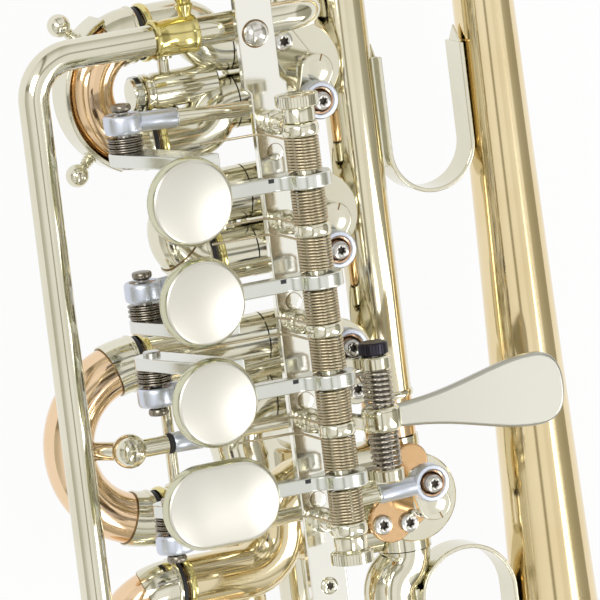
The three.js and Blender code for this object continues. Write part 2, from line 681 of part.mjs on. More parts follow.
// Levers: a flat bar with an eye on the shaft, a foot below the touchpiece and a lower arm,
// whose bolt carries the link
function makeLever(i) {
  const x = leverX(i);
  const at = (dx, back, up) => V(x + dx, SHAFT_Y - back, SHAFT_Z + up);
  const bar = new THREE.Shape();
  const neck = EYE_R * Math.cos(Math.PI / 4);
  bar.moveTo(LEVER_REACH, LEVER_TOP);
  bar.lineTo(neck * 2, LEVER_TOP);
  bar.lineTo(neck, neck);
  bar.absarc(0, 0, EYE_R, Math.PI / 4, -Math.PI / 4, false);
  bar.lineTo(neck * 2, LEVER_TOP - LEVER_DEPTH);
  bar.lineTo(LEVER_REACH, LEVER_TOP - LEVER_DEPTH);
  const blade = plate(bar, LEVER_T, TO_RIGHT, Z_AXIS, at(LEVER_T / 2, 0, 0), 7);
  const sideX = ARM_OFFSETS[i];
  const arm = new THREE.Shape();
  const boltAngle = Math.atan2(LEVER_TOP - LEVER_DEPTH / 2 + BOLT_DROP, FOOT_FAR - BOLT_BACK);
  arm.moveTo(FOOT_NEAR, LEVER_TOP - GAP);
  arm.lineTo(FOOT_FAR, LEVER_TOP - GAP);
  arm.absarc(BOLT_BACK, -BOLT_DROP, ARM_PLATE_END_R, boltAngle - RIGHT_ANGLE,
    boltAngle - 3 * RIGHT_ANGLE, true);
  const armPlate = plate(arm, ARM_PLATE_T, TO_RIGHT, Z_AXIS, at(sideX + ARM_PLATE_T / 2, 0, 0), 4);
  const footShape = new THREE.Shape();
  const low = LEVER_TOP - GAP - FOOT_T;
  footShape.moveTo(FOOT_NEAR, low);
  footShape.lineTo(FOOT_FAR - GAP, low);
  footShape.lineTo(FOOT_FAR - GAP, LEVER_TOP - 2 * GAP);
  footShape.lineTo(FOOT_NEAR, LEVER_TOP - 2 * GAP);
  const foot = plate(footShape, Math.abs(sideX), TO_RIGHT, Z_AXIS, at(Math.max(sideX, 0), 0, 0));
  const side = LINK_SIDES[i];
  const ringFace = LINK_STANDOFF - RING_T / 2;
  const along = (d) => at(sideX + side * d, BOLT_BACK, -BOLT_DROP);
  const headFace = LINK_STANDOFF + RING_T / 2 + RUN;
  const stack = rod(along(0), along(ringFace - RUN), STACK_R);
  const bolt = rod(along(0), along(headFace + GAP), BOLT_R, PIN_SIDES);
  const head = rod(along(headFace), along(headFace + SCREW_HEAD_H), SCREW_HEAD_R + GAP);
  const eyeHole = rod(at(-LEVER_T, 0, 0), at(LEVER_T, 0, 0), SHAFT_R + RUN);
  return cut(join(blade, armPlate, foot, stack, bolt, head), eyeHole);
}

// Touchpieces: shallow caps with a soft crown, the fourth one oblong
function makeTouchpiece(i) {
  const fourth = i === 3;
  const radius = fourth ? PAD4_R : PAD_R;
  const back = fourth ? PAD4_BACK : PAD_BACK;
  const half = fourth ? PAD4_HALF : 0;
  const base = SHAFT_Z + LEVER_TOP + GAP;
  const layers = PAD_SHARES.map(([r, z]) => [radius * r, PAD_T * z]);
  layers.push([radius - PAD_DOME, PAD_T], [radius * PAD_CROWN_SHARE, PAD_T + PAD_DOME]);
  const count = PAD_SIDES;
  const positions = [];
  const index = [];
  layers.forEach(([r, z]) => {
    for (let k = 0; k < count; k += 1) {
      const a = 2 * Math.PI * (k + 1 / 2) / count;
      const stretch = -Math.sign(Math.sin(a)) * half;
      positions.push(leverX(i) + r * Math.cos(a), SHAFT_Y - back + r * Math.sin(a) - stretch, base + z);
    }
  });
  for (let n = 0; n < layers.length - 1; n += 1) {
    for (let k = 0; k < count; k += 1) {
      const a = n * count + k;
      const b = n * count + (k + 1) % count;
      index.push(a, b, a + count, b, b + count, a + count);
    }
  }
  const top = (layers.length - 1) * count;
  for (let k = 1; k < count - 1; k += 1) {
    index.push(0, k + 1, k);
    index.push(top, top + k, top + k + 1);
  }
  const g = new THREE.BufferGeometry();
  g.setAttribute('position', new THREE.Float32BufferAttribute(positions, 3));
  g.setIndex(index);
  g.computeVertexNormals();
  return g;
}

// Lever springs: one wire each, wound on both sides of its lever and joined by a bridge below the eye,
// with both ends resting across the rail
function coil(points, x0, x1, y, z, radius, turns, startAngle, turn) {
  const count = turns * SPRING_STEPS;
  for (let n = 0; n <= count; n += 1) {
    const a = startAngle + turn * 2 * Math.PI * n / SPRING_STEPS;
    points.push(V(x0 + (x1 - x0) * n / count, y + radius * Math.cos(a), z + radius * Math.sin(a)));
  }
}

function makeLeverSpring(i) {
  const x = leverX(i);
  const outer = LEVER_PITCH / 2 - COLLAR_W / 2 - SPRING_ROOM;
  const inner = LEVER_T / 2 + SPRING_ROOM;
  const railTop = SHAFT_Z - RAIL_DROP + RAIL_T / 2;
  const legY = SHAFT_Y - SPRING_LEG - SPRING_R;
  const legZ = railTop + WIRE_R + GAP * 2;
  const bridgeY = SHAFT_Y + EYE_R * Math.SQRT1_2 + 2 * GAP;
  const bridgeZ = SHAFT_Z - EYE_R - 2 * GAP;
  const points = [V(x - outer, legY, legZ), V(x - outer, SHAFT_Y - RAIL_W / 2, legZ + GAP)];
  const half = [];
  coil(half, x - outer, x - inner, SHAFT_Y, SHAFT_Z, SPRING_R, SPRING_TURNS, Math.PI, -1);
  points.push(...half);
  points.push(V(x - inner, bridgeY, bridgeZ), V(x + inner, bridgeY, bridgeZ));
  const mirrored = half.map((p) => V(2 * x - p.x, p.y, p.z)).reverse();
  points.push(...mirrored);
  points.push(V(x + outer, SHAFT_Y - RAIL_W / 2, legZ + GAP), V(x + outer, legY, legZ));
  return points;
}

VALVES.forEach((i) => {
  add(`link_${i + 1}`, makeLink(i), STEEL);
  add(`lever_${i + 1}`, makeLever(i), NICKEL);
  add(`touchpiece_${i + 1}`, makeTouchpiece(i), SILVER);
  const points = makeLeverSpring(i);
  add(`lever_spring_${i + 1}`, wire(points, WIRE_R, WIRE_SIDES), SPRING_WIRE);
  const least = leastGap(points, WIRE_R, SPRING_STEPS - 1);
  if (i === 0) console.log('least gap in a lever spring', least.toFixed(2));
});

// Main tubing ahead of the valves: an outlet from the fourth valve, the tuning slide,
// and a return that drops below and climbs into the third valve
function tuningTube(route, across) {
  route.straight(TUNE_TUBE_START - route.at.x).step(END_RING_R).straight(END_RING_W);
  route.step(OUTER_R, OUTER_BORE).straight(TUNE_TUBE_END - END_RING_W - route.at.x);
  route.step(END_RING_R).straight(END_RING_W);
  return { body: tube(route, X_AXIS.clone().cross(across).normalize()), end: route.at };
}

const outletRoute = new Route(V(rotorX(3) + STUB_REACH + GAP, VALVE4_Y, 0), X_AXIS, TUBE_R, BORE_R);
outletRoute.sidestep(TO_RIGHT, VALVE4_Y - TUNE_HIGH_Y, OUTLET_STEP_L, 2);
const returnRoute = new Route(V(rotorX(2) + SHORT_REACH + GAP, 0, 0), X_AXIS, TUBE_R, BORE_R);
returnRoute.bend(DOWN, RETURN_BEND_R, RIGHT_ANGLE, 3).straight(RETURN_DROP);
returnRoute.bend(X_AXIS, RETURN_BEND_R, RIGHT_ANGLE, 3);
const tuneAcross = V(0, returnRoute.at.y - outletRoute.at.y, returnRoute.at.z - outletRoute.at.z);
const outlet = tuningTube(outletRoute, tuneAcross);
const comeBack = tuningTube(returnRoute, tuneAcross);

add('tuning_outlet_tube', outlet.body, GOLD_BRASS);
add('tuning_return_tube', comeBack.body, NICKEL);

// A U-shaped slide: two legs that fit the outer tubes, and a bow with a ferrule at both ends
function makeSlideBow(mouthA, mouthB, outward, reach) {
  const across = mouthB.clone().sub(mouthA);
  const leg = reach + SEAT_GAP;
  const start = mouthA.clone().addScaledVector(outward, -reach);
  const route = new Route(start, outward, LEG_R, LEG_BORE);
  const plane = outward.clone().cross(across).normalize();
  const turn = (steps) => route.bend(plane.clone().cross(route.heading), across.length() / 2,
    Math.PI * steps / BOW_STEPS, steps);
  route.straight(leg).step(FERRULE_R, BOW_BORE);
  turn(1).step(BOW_R);
  turn(BOW_STEPS - 2).step(FERRULE_R);
  turn(1).step(LEG_R, LEG_BORE).straight(leg);
  return tube(route, plane);
}

// Outer tubes of a valve slide: from the necks of the casing to a straight stretch with a ring
// at its mouth, and a stay between the two
function outerTube(i, side, endY, steps, normal = Z_AXIS) {
  const start = V(rotorX(i) + side * SLIDE_PORT_X, rotorY(i) - STUB_REACH - GAP, 0);
  const route = new Route(start, TO_RIGHT, OUTER_R, OUTER_BORE);
  steps(route);
  route.straight(route.at.y - END_RING_W - endY).step(END_RING_R).straight(END_RING_W);
  return { body: tube(route, normal), end: route.at };
}

function outerPair(a, b) {
  const inset = V(0, END_RING_W * 2, 0);
  const from = a.end.clone().add(inset);
  const to = b.end.clone().add(inset);
  const span = to.clone().sub(from).normalize();
  const stay = rod(from.addScaledVector(span, OUTER_BORE), to.addScaledVector(span, -OUTER_BORE), STAY_R, 6);
  return join(a.body, b.body, stay);
}

const keepStraight = () => {};
const portX = (i, side) => rotorX(i) + side * SLIDE_PORT_X;
const slide1Out = SLIDE1_HALF - SLIDE_PORT_X;
const slide4Tilt = V(SLIDE4_DROP, 0, SLIDE4_FAR_X - SLIDE4_NEAR_X).normalize();

const slides = [
  {
    near: outerTube(0, -1, SLIDE1_END, (route) => route.sidestep(V(-1, 0, 0), slide1Out, SLIDE1_BEND_L, 2)),
    far: outerTube(0, 1, SLIDE1_END, (route) => route.sidestep(X_AXIS, slide1Out, SLIDE1_BEND_L, 2)),
  },
  {
    near: outerTube(1, -1, SLIDE2_END, keepStraight),
    far: outerTube(1, 1, SLIDE2_END, keepStraight),
  },
  {
    near: outerTube(2, -1, SLIDE3_END, keepStraight),
    far: outerTube(2, 1, SLIDE3_END, (route) => (
      route.sidestep(X_AXIS, SLIDE3_FAR_X - portX(2, 1), SLIDE3_BEND_L, 2))),
  },
  {
    // the far tube dips below its partner before it turns forward
    near: outerTube(3, -1, SLIDE4_END, (route) => {
      route.straight(SLIDE4_STRAIGHT);
      route.sidestep(X_AXIS, SLIDE4_NEAR_X - portX(3, -1), SLIDE4_NEAR_L, 2);
    }, slide4Tilt),
    far: outerTube(3, 1, SLIDE4_END, (route) => {
      route.sidestep(DOWN, SLIDE4_DROP, SLIDE4_DROP_L, 2);
      route.sidestep(X_AXIS, SLIDE4_FAR_X - portX(3, 1), SLIDE4_FAR_L, 2);
    }, slide4Tilt),
  },
];

// A strip round the outside of the first slide's bow guards it and carries two ball finials
function bowGuard() {
  const { near, far } = slides[0];
  const span = (far.end.x - near.end.x) / 2;
  const centre = V((near.end.x + far.end.x) / 2, near.end.y - SEAT_GAP, 0);
  const outer = span + BOW_R + GUARD_T;
  const inner = (span + BOW_R) * Math.cos(RIGHT_ANGLE / BOW_STEPS) - GAP;
  const half = GUARD_HALF_DEG * Math.PI / 180;
  const strip = new THREE.Shape();
  strip.absarc(0, 0, outer, -RIGHT_ANGLE - half, -RIGHT_ANGLE + half, false);
  strip.absarc(0, 0, inner, -RIGHT_ANGLE + half, -RIGHT_ANGLE - half, true);
  const low = centre.clone().setZ(-GUARD_W / 2);
  const guard = plate(strip, GUARD_W, X_AXIS, Y_AXIS, low, 5);
  const neck = FINIAL_R / 2;
  const waist = FINIAL_R * Math.SQRT1_2;
  const ball = FINIAL_NECK + FINIAL_R;
  const finials = [-1, 1].map((side) => {
    const a = -RIGHT_ANGLE + side * FINIAL_AT_DEG * Math.PI / 180;
    const way = V(Math.cos(a), Math.sin(a), 0);
    return turned([
      [0, -GAP], [neck, -GAP], [neck, FINIAL_NECK], [waist, ball - waist], [FINIAL_R, ball],
      [waist, ball + waist], [0, ball + FINIAL_R],
    ], PIN_SIDES, way, centre.clone().addScaledVector(way, outer));
  });
  return [guard, ...finials];
}

slides.forEach(({ near, far }, i) => {
  const looks = [GOLD_BRASS, NICKEL, GOLD_BRASS, GOLD_BRASS];
  const bow = makeSlideBow(near.end, far.end, TO_RIGHT, i === 2 ? LEG3_REACH : LEG_REACH);
  add(`slide_${i + 1}_tubes`, outerPair(near, far), NICKEL);
  add(`slide_${i + 1}_bow`, i === 0 ? join(bow, ...bowGuard()) : bow, looks[i]);
});

add('main_tuning_slide', makeSlideBow(outlet.end, comeBack.end, X_AXIS, TUNE_LEG_REACH), GOLD_BRASS);

// Lever rack: a flat rail with five posts, a bracket at each end, the ears of the thumb lever
// and a boss that the hand rail is seated against
const box = (x0, x1, y0, y1, z0, z1) => new THREE.BoxGeometry(x1 - x0, y1 - y0, z1 - z0)
  .translate((x0 + x1) / 2, (y0 + y1) / 2, (z0 + z1) / 2);
const railZ = SHAFT_Z - RAIL_DROP;
const railLow = railZ - RAIL_T / 2;
const railHigh = railZ + RAIL_T / 2;
const alongX = (from, to, y, z, radius, sides) => rod(V(from, y, z), V(to, y, z), radius, sides);

function makeRack() {
  const halfW = RAIL_W / 2;
  const halfT = BRACKET_T / 2;
  const pieces = [box(-RAIL_BACK, RAIL_FRONT, SHAFT_Y - halfW, SHAFT_Y + halfW, railLow, railHigh)];
  for (let n = -2; n <= 2; n += 1) {
    const x = n * LEVER_PITCH;
    pieces.push(rod(V(x, SHAFT_Y, railHigh - GAP), V(x, SHAFT_Y, SHAFT_Z - SHAFT_R), POST_R, PIN_SIDES,
      COLLAR_W / 2));
    pieces.push(alongX(x - COLLAR_W / 2, x + COLLAR_W / 2, SHAFT_Y, SHAFT_Z, COLLAR_R, ROUND_SIDES));
  }
  const rear = -RAIL_BACK;
  const exitSide = -BELL_BOW_R - GAP;
  pieces.push(box(rear, rear + BRACKET_W, SHAFT_Y - halfT, SHAFT_Y + halfT, -halfT, railZ));
  pieces.push(box(rear, rear + BRACKET_W, SHAFT_Y, exitSide, -halfT, halfT));
  pieces.push(box(rear + BRACKET_W - BRACKET_T, rear + BRACKET_W, HAND_SLEEVE_Y - WING_HALF, SHAFT_Y,
    HAND_Z - WING_HALF, HAND_Z + WING_HALF));
  const front = FRONT_BRACKET_X;
  const outletSide = TUNE_HIGH_Y - TUBE_R - GAP;
  pieces.push(box(front, front + BRACKET_T, SHAFT_Y - halfT, SHAFT_Y + halfT, -halfT, railZ));
  pieces.push(box(front, front + BRACKET_T, SHAFT_Y, outletSide, -halfT, halfT));
  [-1, 1].forEach((side) => {
    const x0 = THUMB_X + side * THUMB_HALF - THUMB_EAR_W / 2;
    pieces.push(box(x0, x0 + THUMB_EAR_W, SHAFT_Y + halfW - GAP, THUMB_Y, railLow, railHigh));
    pieces.push(alongX(x0, x0 + THUMB_EAR_W, THUMB_Y, THUMB_Z, THUMB_EAR_R, ROUND_SIDES));
  });
  pieces.push(rod(V(HAND_FRONT_X, SHAFT_Y, HAND_Z + HAND_R + GAP), V(HAND_FRONT_X, SHAFT_Y, railZ), SEAT_R));
  const shaftHole = alongX(-RAIL_BACK, RAIL_BACK, SHAFT_Y, SHAFT_Z, SHAFT_R + GAP, TUBE_SIDES);
  const axleHole = alongX(THUMB_X - 2 * THUMB_HALF, THUMB_X + 2 * THUMB_HALF, THUMB_Y, THUMB_Z,
    THUMB_AXLE_R + GAP, TUBE_SIDES);
  return cut(join(...pieces), shaftHole, axleHole);
}

add('lever_rack', makeRack(), NICKEL);

// Shaft of the levers, with a knurled screw head behind and a knurled nut in front
function makeShaft() {
  const end = 2 * LEVER_PITCH + COLLAR_W / 2 + GAP;
  const knurl = end + NUT_W;
  const tip = knurl + KNURL_W;
  return turned([
    [0, -tip], [KNURL_R, -tip], [KNURL_R, -knurl], [NUT_R, -knurl], [NUT_R, -end], [SHAFT_R, -end],
    [SHAFT_R, end], [NUT_R, end], [NUT_R, knurl], [KNURL_R, knurl], [KNURL_R, tip], [0, tip],
  ], TUBE_SIDES, X_AXIS, V(0, SHAFT_Y, SHAFT_Z));
}

add('lever_shaft', makeShaft(), NICKEL);

// Thumb lever: a long leaf shaped paddle on a hub, with an arm that leans down to the trigger rod
const slide3MidX = (slides[2].near.end.x + slides[2].far.end.x) / 2;

function makeThumbLever() {
  const hub = alongX(THUMB_X - THUMB_HUB_W / 2, THUMB_X + THUMB_HUB_W / 2, THUMB_Y, THUMB_Z, THUMB_HUB_R,
    ROUND_SIDES);
  const waist = PADDLE_L * PADDLE_WAIST_SHARE;
  const hip = PADDLE_L * PADDLE_HIP_SHARE;
  const shoulder = PADDLE_L * PADDLE_SHOULDER_SHARE;
  const crown = PADDLE_L * PADDLE_CROWN_SHARE;
  const crownHalf = PADDLE_WIDE * PADDLE_HIP_SHARE;
  const leaf = new THREE.Shape();
  leaf.moveTo(-PADDLE_NECK, 0);
  leaf.bezierCurveTo(-PADDLE_NECK, waist, -PADDLE_WIDE, hip, -PADDLE_WIDE, shoulder);
  leaf.bezierCurveTo(-PADDLE_WIDE, crown, -crownHalf, PADDLE_L, 0, PADDLE_L);
  leaf.bezierCurveTo(crownHalf, PADDLE_L, PADDLE_WIDE, crown, PADDLE_WIDE, shoulder);
  leaf.bezierCurveTo(PADDLE_WIDE, hip, PADDLE_NECK, waist, PADDLE_NECK, 0);
  const paddle = plate(leaf, PADDLE_T, X_AXIS, Y_AXIS, V(THUMB_X, THUMB_Y, THUMB_Z - PADDLE_T / 2), 5);
  const arm = new THREE.Shape();
  const half = BRACKET_T / 2;
  arm.moveTo(-half, 0);
  arm.lineTo(THUMB_ARM_LEAN - half, -THUMB_ARM_DROP);
  arm.lineTo(THUMB_ARM_LEAN + half, -THUMB_ARM_DROP);
  arm.lineTo(half, 0);
  const blade = plate(arm, THUMB_EAR_W, TO_RIGHT, Z_AXIS, V(slide3MidX + THUMB_EAR_W / 2, THUMB_Y, THUMB_Z));
  const axleHole = alongX(THUMB_X - THUMB_HALF, THUMB_X + THUMB_HALF, THUMB_Y, THUMB_Z, THUMB_AXLE_R + RUN,
    TUBE_SIDES);
  return cut(join(hub, paddle, blade), axleHole);
}

add('thumb_lever', makeThumbLever(), SILVER);

// Axle of the thumb lever with its knurled knob
function makeThumbAxle() {
  const end = THUMB_HALF + THUMB_EAR_W / 2 + GAP;
  const knob = THUMB_EAR_R - GAP;
  return turned([
    [0, -end - KNURL_W], [knob, -end - KNURL_W], [knob, -end], [THUMB_AXLE_R, -end],
    [THUMB_AXLE_R, end], [0, end],
  ], TUBE_SIDES, X_AXIS, V(THUMB_X, THUMB_Y, THUMB_Z));
}

add('thumb_axle', makeThumbAxle(), STEEL);

// Spring of the thumb lever: one wire on both sides of the hub, its ends resting over the rail
function makeThumbSpring() {
  const outer = THUMB_HALF - THUMB_EAR_W / 2 - SPRING_ROOM;
  const inner = THUMB_HUB_W / 2 + SPRING_ROOM;
  const radius = THUMB_HUB_R - 3 * WIRE_R;
  const half = [];
  coil(half, THUMB_X - outer, THUMB_X - inner, THUMB_Y, THUMB_Z, radius, THUMB_TURNS, Math.PI, -1);
  const bridgeY = THUMB_Y + THUMB_HUB_R;
  const bridgeZ = THUMB_Z - PADDLE_T / 2 - THUMB_HUB_R;
  const legY = SHAFT_Y + RAIL_W / 2 + GAP;
  const legZ = railHigh + 2 * GAP;
  const points = [V(THUMB_X - outer, legY, legZ), ...half];
  points.push(V(THUMB_X - inner, bridgeY, bridgeZ), V(THUMB_X + inner, bridgeY, bridgeZ));
  points.push(...half.map((p) => V(2 * THUMB_X - p.x, p.y, p.z)).reverse());
  points.push(V(THUMB_X + outer, legY, legZ));
  return points;
}

const thumbSpring = makeThumbSpring();
add('thumb_spring', wire(thumbSpring, WIRE_R, WIRE_SIDES), SPRING_WIRE);
console.log('least gap in the thumb spring', leastGap(thumbSpring, WIRE_R, SPRING_STEPS - 1).toFixed(2));

// Trigger rod: from the thumb lever across to the inner side of the third slide's bow
function makeTriggerRod() {
  const { near, far } = slides[2];
  const chord = Math.cos(Math.PI / 2 / BOW_STEPS) * (far.end.x - near.end.x) / 2;
  const bowInside = near.end.y - SEAT_GAP - chord + BOW_R + GAP + TRIGGER_ROD_R;
  const at = (y, z) => V(slide3MidX, y, z);
  const ball = new THREE.SphereGeometry(TRIGGER_BALL_R, 8, 6);
  ball.translate(slide3MidX, TRIGGER_BALL_Y, TRIGGER_Z);
  const shank = rod(at(TRIGGER_END_Y, TRIGGER_Z), at(TRIGGER_BALL_Y, TRIGGER_Z), TRIGGER_ROD_R);
  const stub = rod(at(TRIGGER_BALL_Y, TRIGGER_Z), at(bowInside, 0), TRIGGER_ROD_R, PIN_SIDES);
  return join(ball, shank, stub);
}

add('trigger_rod', makeTriggerRod(), NICKEL);

// Hand rail: rises from the tube behind the first valve, runs out to the right, forward and back in
function makeHandRail() {
  const route = new Route(V(HAND_BACK_X, 0, BELL_BOW_R + GAP), Z_AXIS, HAND_R);
  route.straight(HAND_Z - HAND_BEND - route.at.z);
  route.bend(TO_RIGHT, HAND_BEND, RIGHT_ANGLE, 3);
  route.straight(route.at.y - HAND_Y - HAND_BEND);
  route.bend(X_AXIS, HAND_BEND, RIGHT_ANGLE, 3);
  route.straight(HAND_FRONT_X - HAND_BEND - route.at.x);
  route.bend(Y_AXIS, HAND_BEND, RIGHT_ANGLE, 3);
  route.straight(SHAFT_Y + SEAT_R - route.at.y);
  return tube(route, X_AXIS);
}

add('hand_rail', makeHandRail(), NICKEL);

function makeHandSleeve() {
  const y0 = HAND_SLEEVE_Y - HAND_SLEEVE_L / 2;
  const y1 = y0 + HAND_SLEEVE_L;
  const at = (y) => V(HAND_BACK_X, y, HAND_Z);
  const footEnd = V(-RAIL_BACK + BRACKET_W + GAP, HAND_SLEEVE_Y, HAND_Z);
  const foot = rod(at(HAND_SLEEVE_Y), footEnd, HAND_FOOT_R, PIN_SIDES, 2 * HAND_FOOT_R);
  return cut(join(rod(at(y0), at(y1), HAND_SLEEVE_R), foot), rod(at(y0 - CUT), at(y1 + CUT), HAND_R + GAP));
}

add('hand_rail_sleeve', makeHandSleeve(), YELLOW_BRASS);

// Straps: strips bent to a U that tie the bell to the tube beside it, the rear one open to the rear,
// the front one open to the front
function makeStrap(x, direction, foot, tubeY, tubeR) {
  const inner = tubeY + tubeR + GAP;
  const widest = Math.max(x, x - direction * foot);
  const outer = BELL_Y - bellRadius(widest) - GAP;
  const bend = (outer - inner) / 2;
  const end = x - direction * foot;
  const openToFront = direction < 0;
  const strip = new THREE.Shape();
  strip.moveTo(end, 0).lineTo(x, 0);
  strip.absarc(x, bend, bend, -RIGHT_ANGLE, RIGHT_ANGLE, openToFront);
  strip.lineTo(end, 2 * bend).lineTo(end, 2 * bend - STRAP_T).lineTo(x, 2 * bend - STRAP_T);
  strip.absarc(x, bend, bend - STRAP_T, RIGHT_ANGLE, -RIGHT_ANGLE, !openToFront);
  strip.lineTo(end, STRAP_T);
  return plate(strip, STRAP_W, X_AXIS, Y_AXIS, V(0, inner, -STRAP_W / 2), 8);
}

add('strap_rear', makeStrap(STRAP_REAR_X, 1, STRAP_REAR_FOOT, VALVE4_Y, SLEEVE_R), NICKEL);
add('strap_front', makeStrap(STRAP_FRONT_X, -1, STRAP_FRONT_FOOT, TUNE_HIGH_Y, TUBE_R), NICKEL);

export default trumpet;
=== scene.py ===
"""A rotary valve trumpet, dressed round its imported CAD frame. Sizes in the sections are millimetres."""
from math import atan2, copysign, cos, degrees, pi, radians, sin

import bpy
from mathutils import Matrix, Quaternion, Vector


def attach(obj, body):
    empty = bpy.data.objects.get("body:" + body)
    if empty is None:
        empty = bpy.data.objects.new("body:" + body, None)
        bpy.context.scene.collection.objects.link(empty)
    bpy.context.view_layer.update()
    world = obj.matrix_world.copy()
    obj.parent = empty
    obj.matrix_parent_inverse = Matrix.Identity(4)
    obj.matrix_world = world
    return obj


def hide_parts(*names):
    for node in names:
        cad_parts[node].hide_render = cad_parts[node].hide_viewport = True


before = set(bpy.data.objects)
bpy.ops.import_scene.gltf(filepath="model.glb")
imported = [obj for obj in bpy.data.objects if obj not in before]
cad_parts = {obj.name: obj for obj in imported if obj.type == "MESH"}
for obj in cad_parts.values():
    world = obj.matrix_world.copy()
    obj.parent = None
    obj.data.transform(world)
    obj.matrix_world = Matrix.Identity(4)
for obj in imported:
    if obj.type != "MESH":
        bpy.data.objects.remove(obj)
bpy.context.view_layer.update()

# Bell. One sheet of brass, spun to a horn over a mandrel and lacquered; its rim is rolled
# round a wire. Its side is the widest polished face that the camera sees.
X, Y, Z = Vector((1, 0, 0)), Vector((0, 1, 0)), Vector((0, 0, 1))
MM = 0.001
BELL_Y, BELL_TAIL, BELL_RIM, BELL_RADIUS, SHEET = 54.1, -120, 300, 63.5, 0.7
POLE = 17.7  # the horn's curve would widen without end this far past the rim


def linear(code):
    parts = [int(code[k:k + 2], 16) / 255 for k in (1, 3, 5)]
    return [p / 12.92 if p <= 0.04045 else ((p + 0.055) / 1.055) ** 2.4 for p in parts] + [1]


def add_node(tree, kind, links=None, **settings):
    new = tree.nodes.new(kind)
    for key, value in settings.items():
        setattr(new, key, value)
    for socket, value in (links or {}).items():
        if isinstance(value, bpy.types.NodeSocket):
            tree.links.new(value, new.inputs[socket])
        else:
            new.inputs[socket].default_value = value
    return new


def bare_tree(owner):
    owner.use_nodes = True
    owner.node_tree.nodes.clear()
    return owner.node_tree


def buffed_metal(name, light, deep, rough, grain=0.35, coat=0.0, marks=0.02, wear=0.32):
    """Metal off the buffing wheel. Two close tints drift over some 26 mm, as handling leaves them. The
    wheel's hairlines vary its roughness by the share wear and lift it by marks; real ones are finer than
    grain, in millimetres, which is as coarse as they need to show."""
    stuff = bpy.data.materials.new(name)
    tree = bare_tree(stuff)
    place = add_node(tree, "ShaderNodeTexCoord").outputs["Object"]
    drift = add_node(tree, "ShaderNodeTexNoise", {"Vector": place, "Scale": 38.0, "Detail": 3.0})
    tint = add_node(tree, "ShaderNodeMix", {0: drift.outputs[0], 6: linear(deep), 7: linear(light)},
                    data_type="RGBA")
    lines = add_node(tree, "ShaderNodeMapping", {"Vector": place, "Scale": (1.0, 0.25, 1.0)})
    hair = add_node(tree, "ShaderNodeTexNoise", {"Vector": lines.outputs[0], "Scale": 1 / (grain * MM),
                                                "Detail": 2.0})
    sheen = add_node(tree, "ShaderNodeMapRange", {"Value": hair.outputs[0], "To Min": rough * (1 - wear),
                                                 "To Max": rough * (1 + wear)})
    lift = add_node(tree, "ShaderNodeBump", {"Height": hair.outputs[0], "Strength": marks,
                                            "Distance": 0.05 * MM})
    shader = add_node(tree, "ShaderNodeBsdfPrincipled",
                      {"Base Color": tint.outputs[2], "Metallic": 1.0, "Roughness": sheen.outputs[0],
                       "Normal": lift.outputs[0], "Coat Weight": coat, "Coat Roughness": 0.04})
    add_node(tree, "ShaderNodeOutputMaterial", {"Surface": shader.outputs[0]})
    return stuff


def placed(name, data):
    made = bpy.data.objects.new(name, data)
    bpy.context.scene.collection.objects.link(made)
    return made


def piece_from(name, points, faces, stuff, round_deg=40):
    """A closed mesh from points in millimetres, faces turned outwards, soft across shallow edges."""
    data = bpy.data.meshes.new(name)
    data.from_pydata([Vector(p) * MM for p in points], [], faces)
    data.update()
    corners = [v.co for v in data.vertices]
    volume = sum(corners[f[0]].dot(corners[f[k]].cross(corners[f[k + 1]]))
                 for f in faces for k in range(1, len(f) - 1))
    if volume < 0:
        data.flip_normals()
    data.shade_smooth()
    data.set_sharp_from_angle(angle=radians(round_deg))
    data.materials.append(stuff)
    return placed(name, data)


def turned(name, profile, axis, at, stuff, around=56):
    """A lathe piece from (radius, distance along the axis); a profile off the axis closes to a ring."""
    axis = Vector(axis).normalized()
    side = axis.orthogonal().normalized()
    up = axis.cross(side)
    points, faces, rings = [], [], []
    for r, along in profile:
        middle = Vector(at) + axis * along
        count = 1 if r < 1e-6 else around
        rings.append([len(points) + k for k in range(count)])
        for k in range(count):
            a = 2 * pi * k / around
            points.append(middle + (side * cos(a) + up * sin(a)) * r)
    if profile[0][0] > 0:
        rings.append(rings[0])
    for a, b in zip(rings, rings[1:]):
        for k in range(around):
            n = (k + 1) % around
            loop = dict.fromkeys((a[k % len(a)], a[n % len(a)], b[n % len(b)], b[k % len(b)]))
            if len(loop) > 2:
                faces.append(tuple(loop))
    return piece_from(name, points, faces, stuff)


def joined(name, pieces, body, node):
    """One real piece from its parts, riding on its body and standing for its CAD node."""
    whole = pieces[0]
    if len(pieces) > 1:
        with bpy.context.temp_override(active_object=whole, selected_editable_objects=pieces):
            bpy.ops.object.join()
    whole.name = whole.data.name = name
    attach(whole, body)
    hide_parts(node)


def bell_radius(x):
    return BELL_RADIUS * (POLE / (BELL_RIM + POLE - x)) ** 0.7


# Clear lacquer on polished brass: long golden reflections under a second, sharper gloss.
bell_brass = buffed_metal("lacquered bell brass", "#f1e2bf", "#e1c995", 0.11, coat=0.25)
far = BELL_RIM + POLE - BELL_TAIL
outside = [(bell_radius(x), x) for x in (BELL_RIM + POLE - far * (POLE / far) ** (k / 96) for k in range(97))]
inside = [(r - SHEET, x) for r, x in reversed(outside)]
rim = [(BELL_RADIUS + 1.5 * cos(a), BELL_RIM + 1.5 * sin(a))
       for a in (pi * (k / 14 - 0.5) for k in range(15))]
bell_wall = outside[:-1] + rim + inside[1:]
joined("bell_horn", [turned("horn", bell_wall, X, (0, BELL_Y, 0), bell_brass, 120)],
       "horn", "bell")

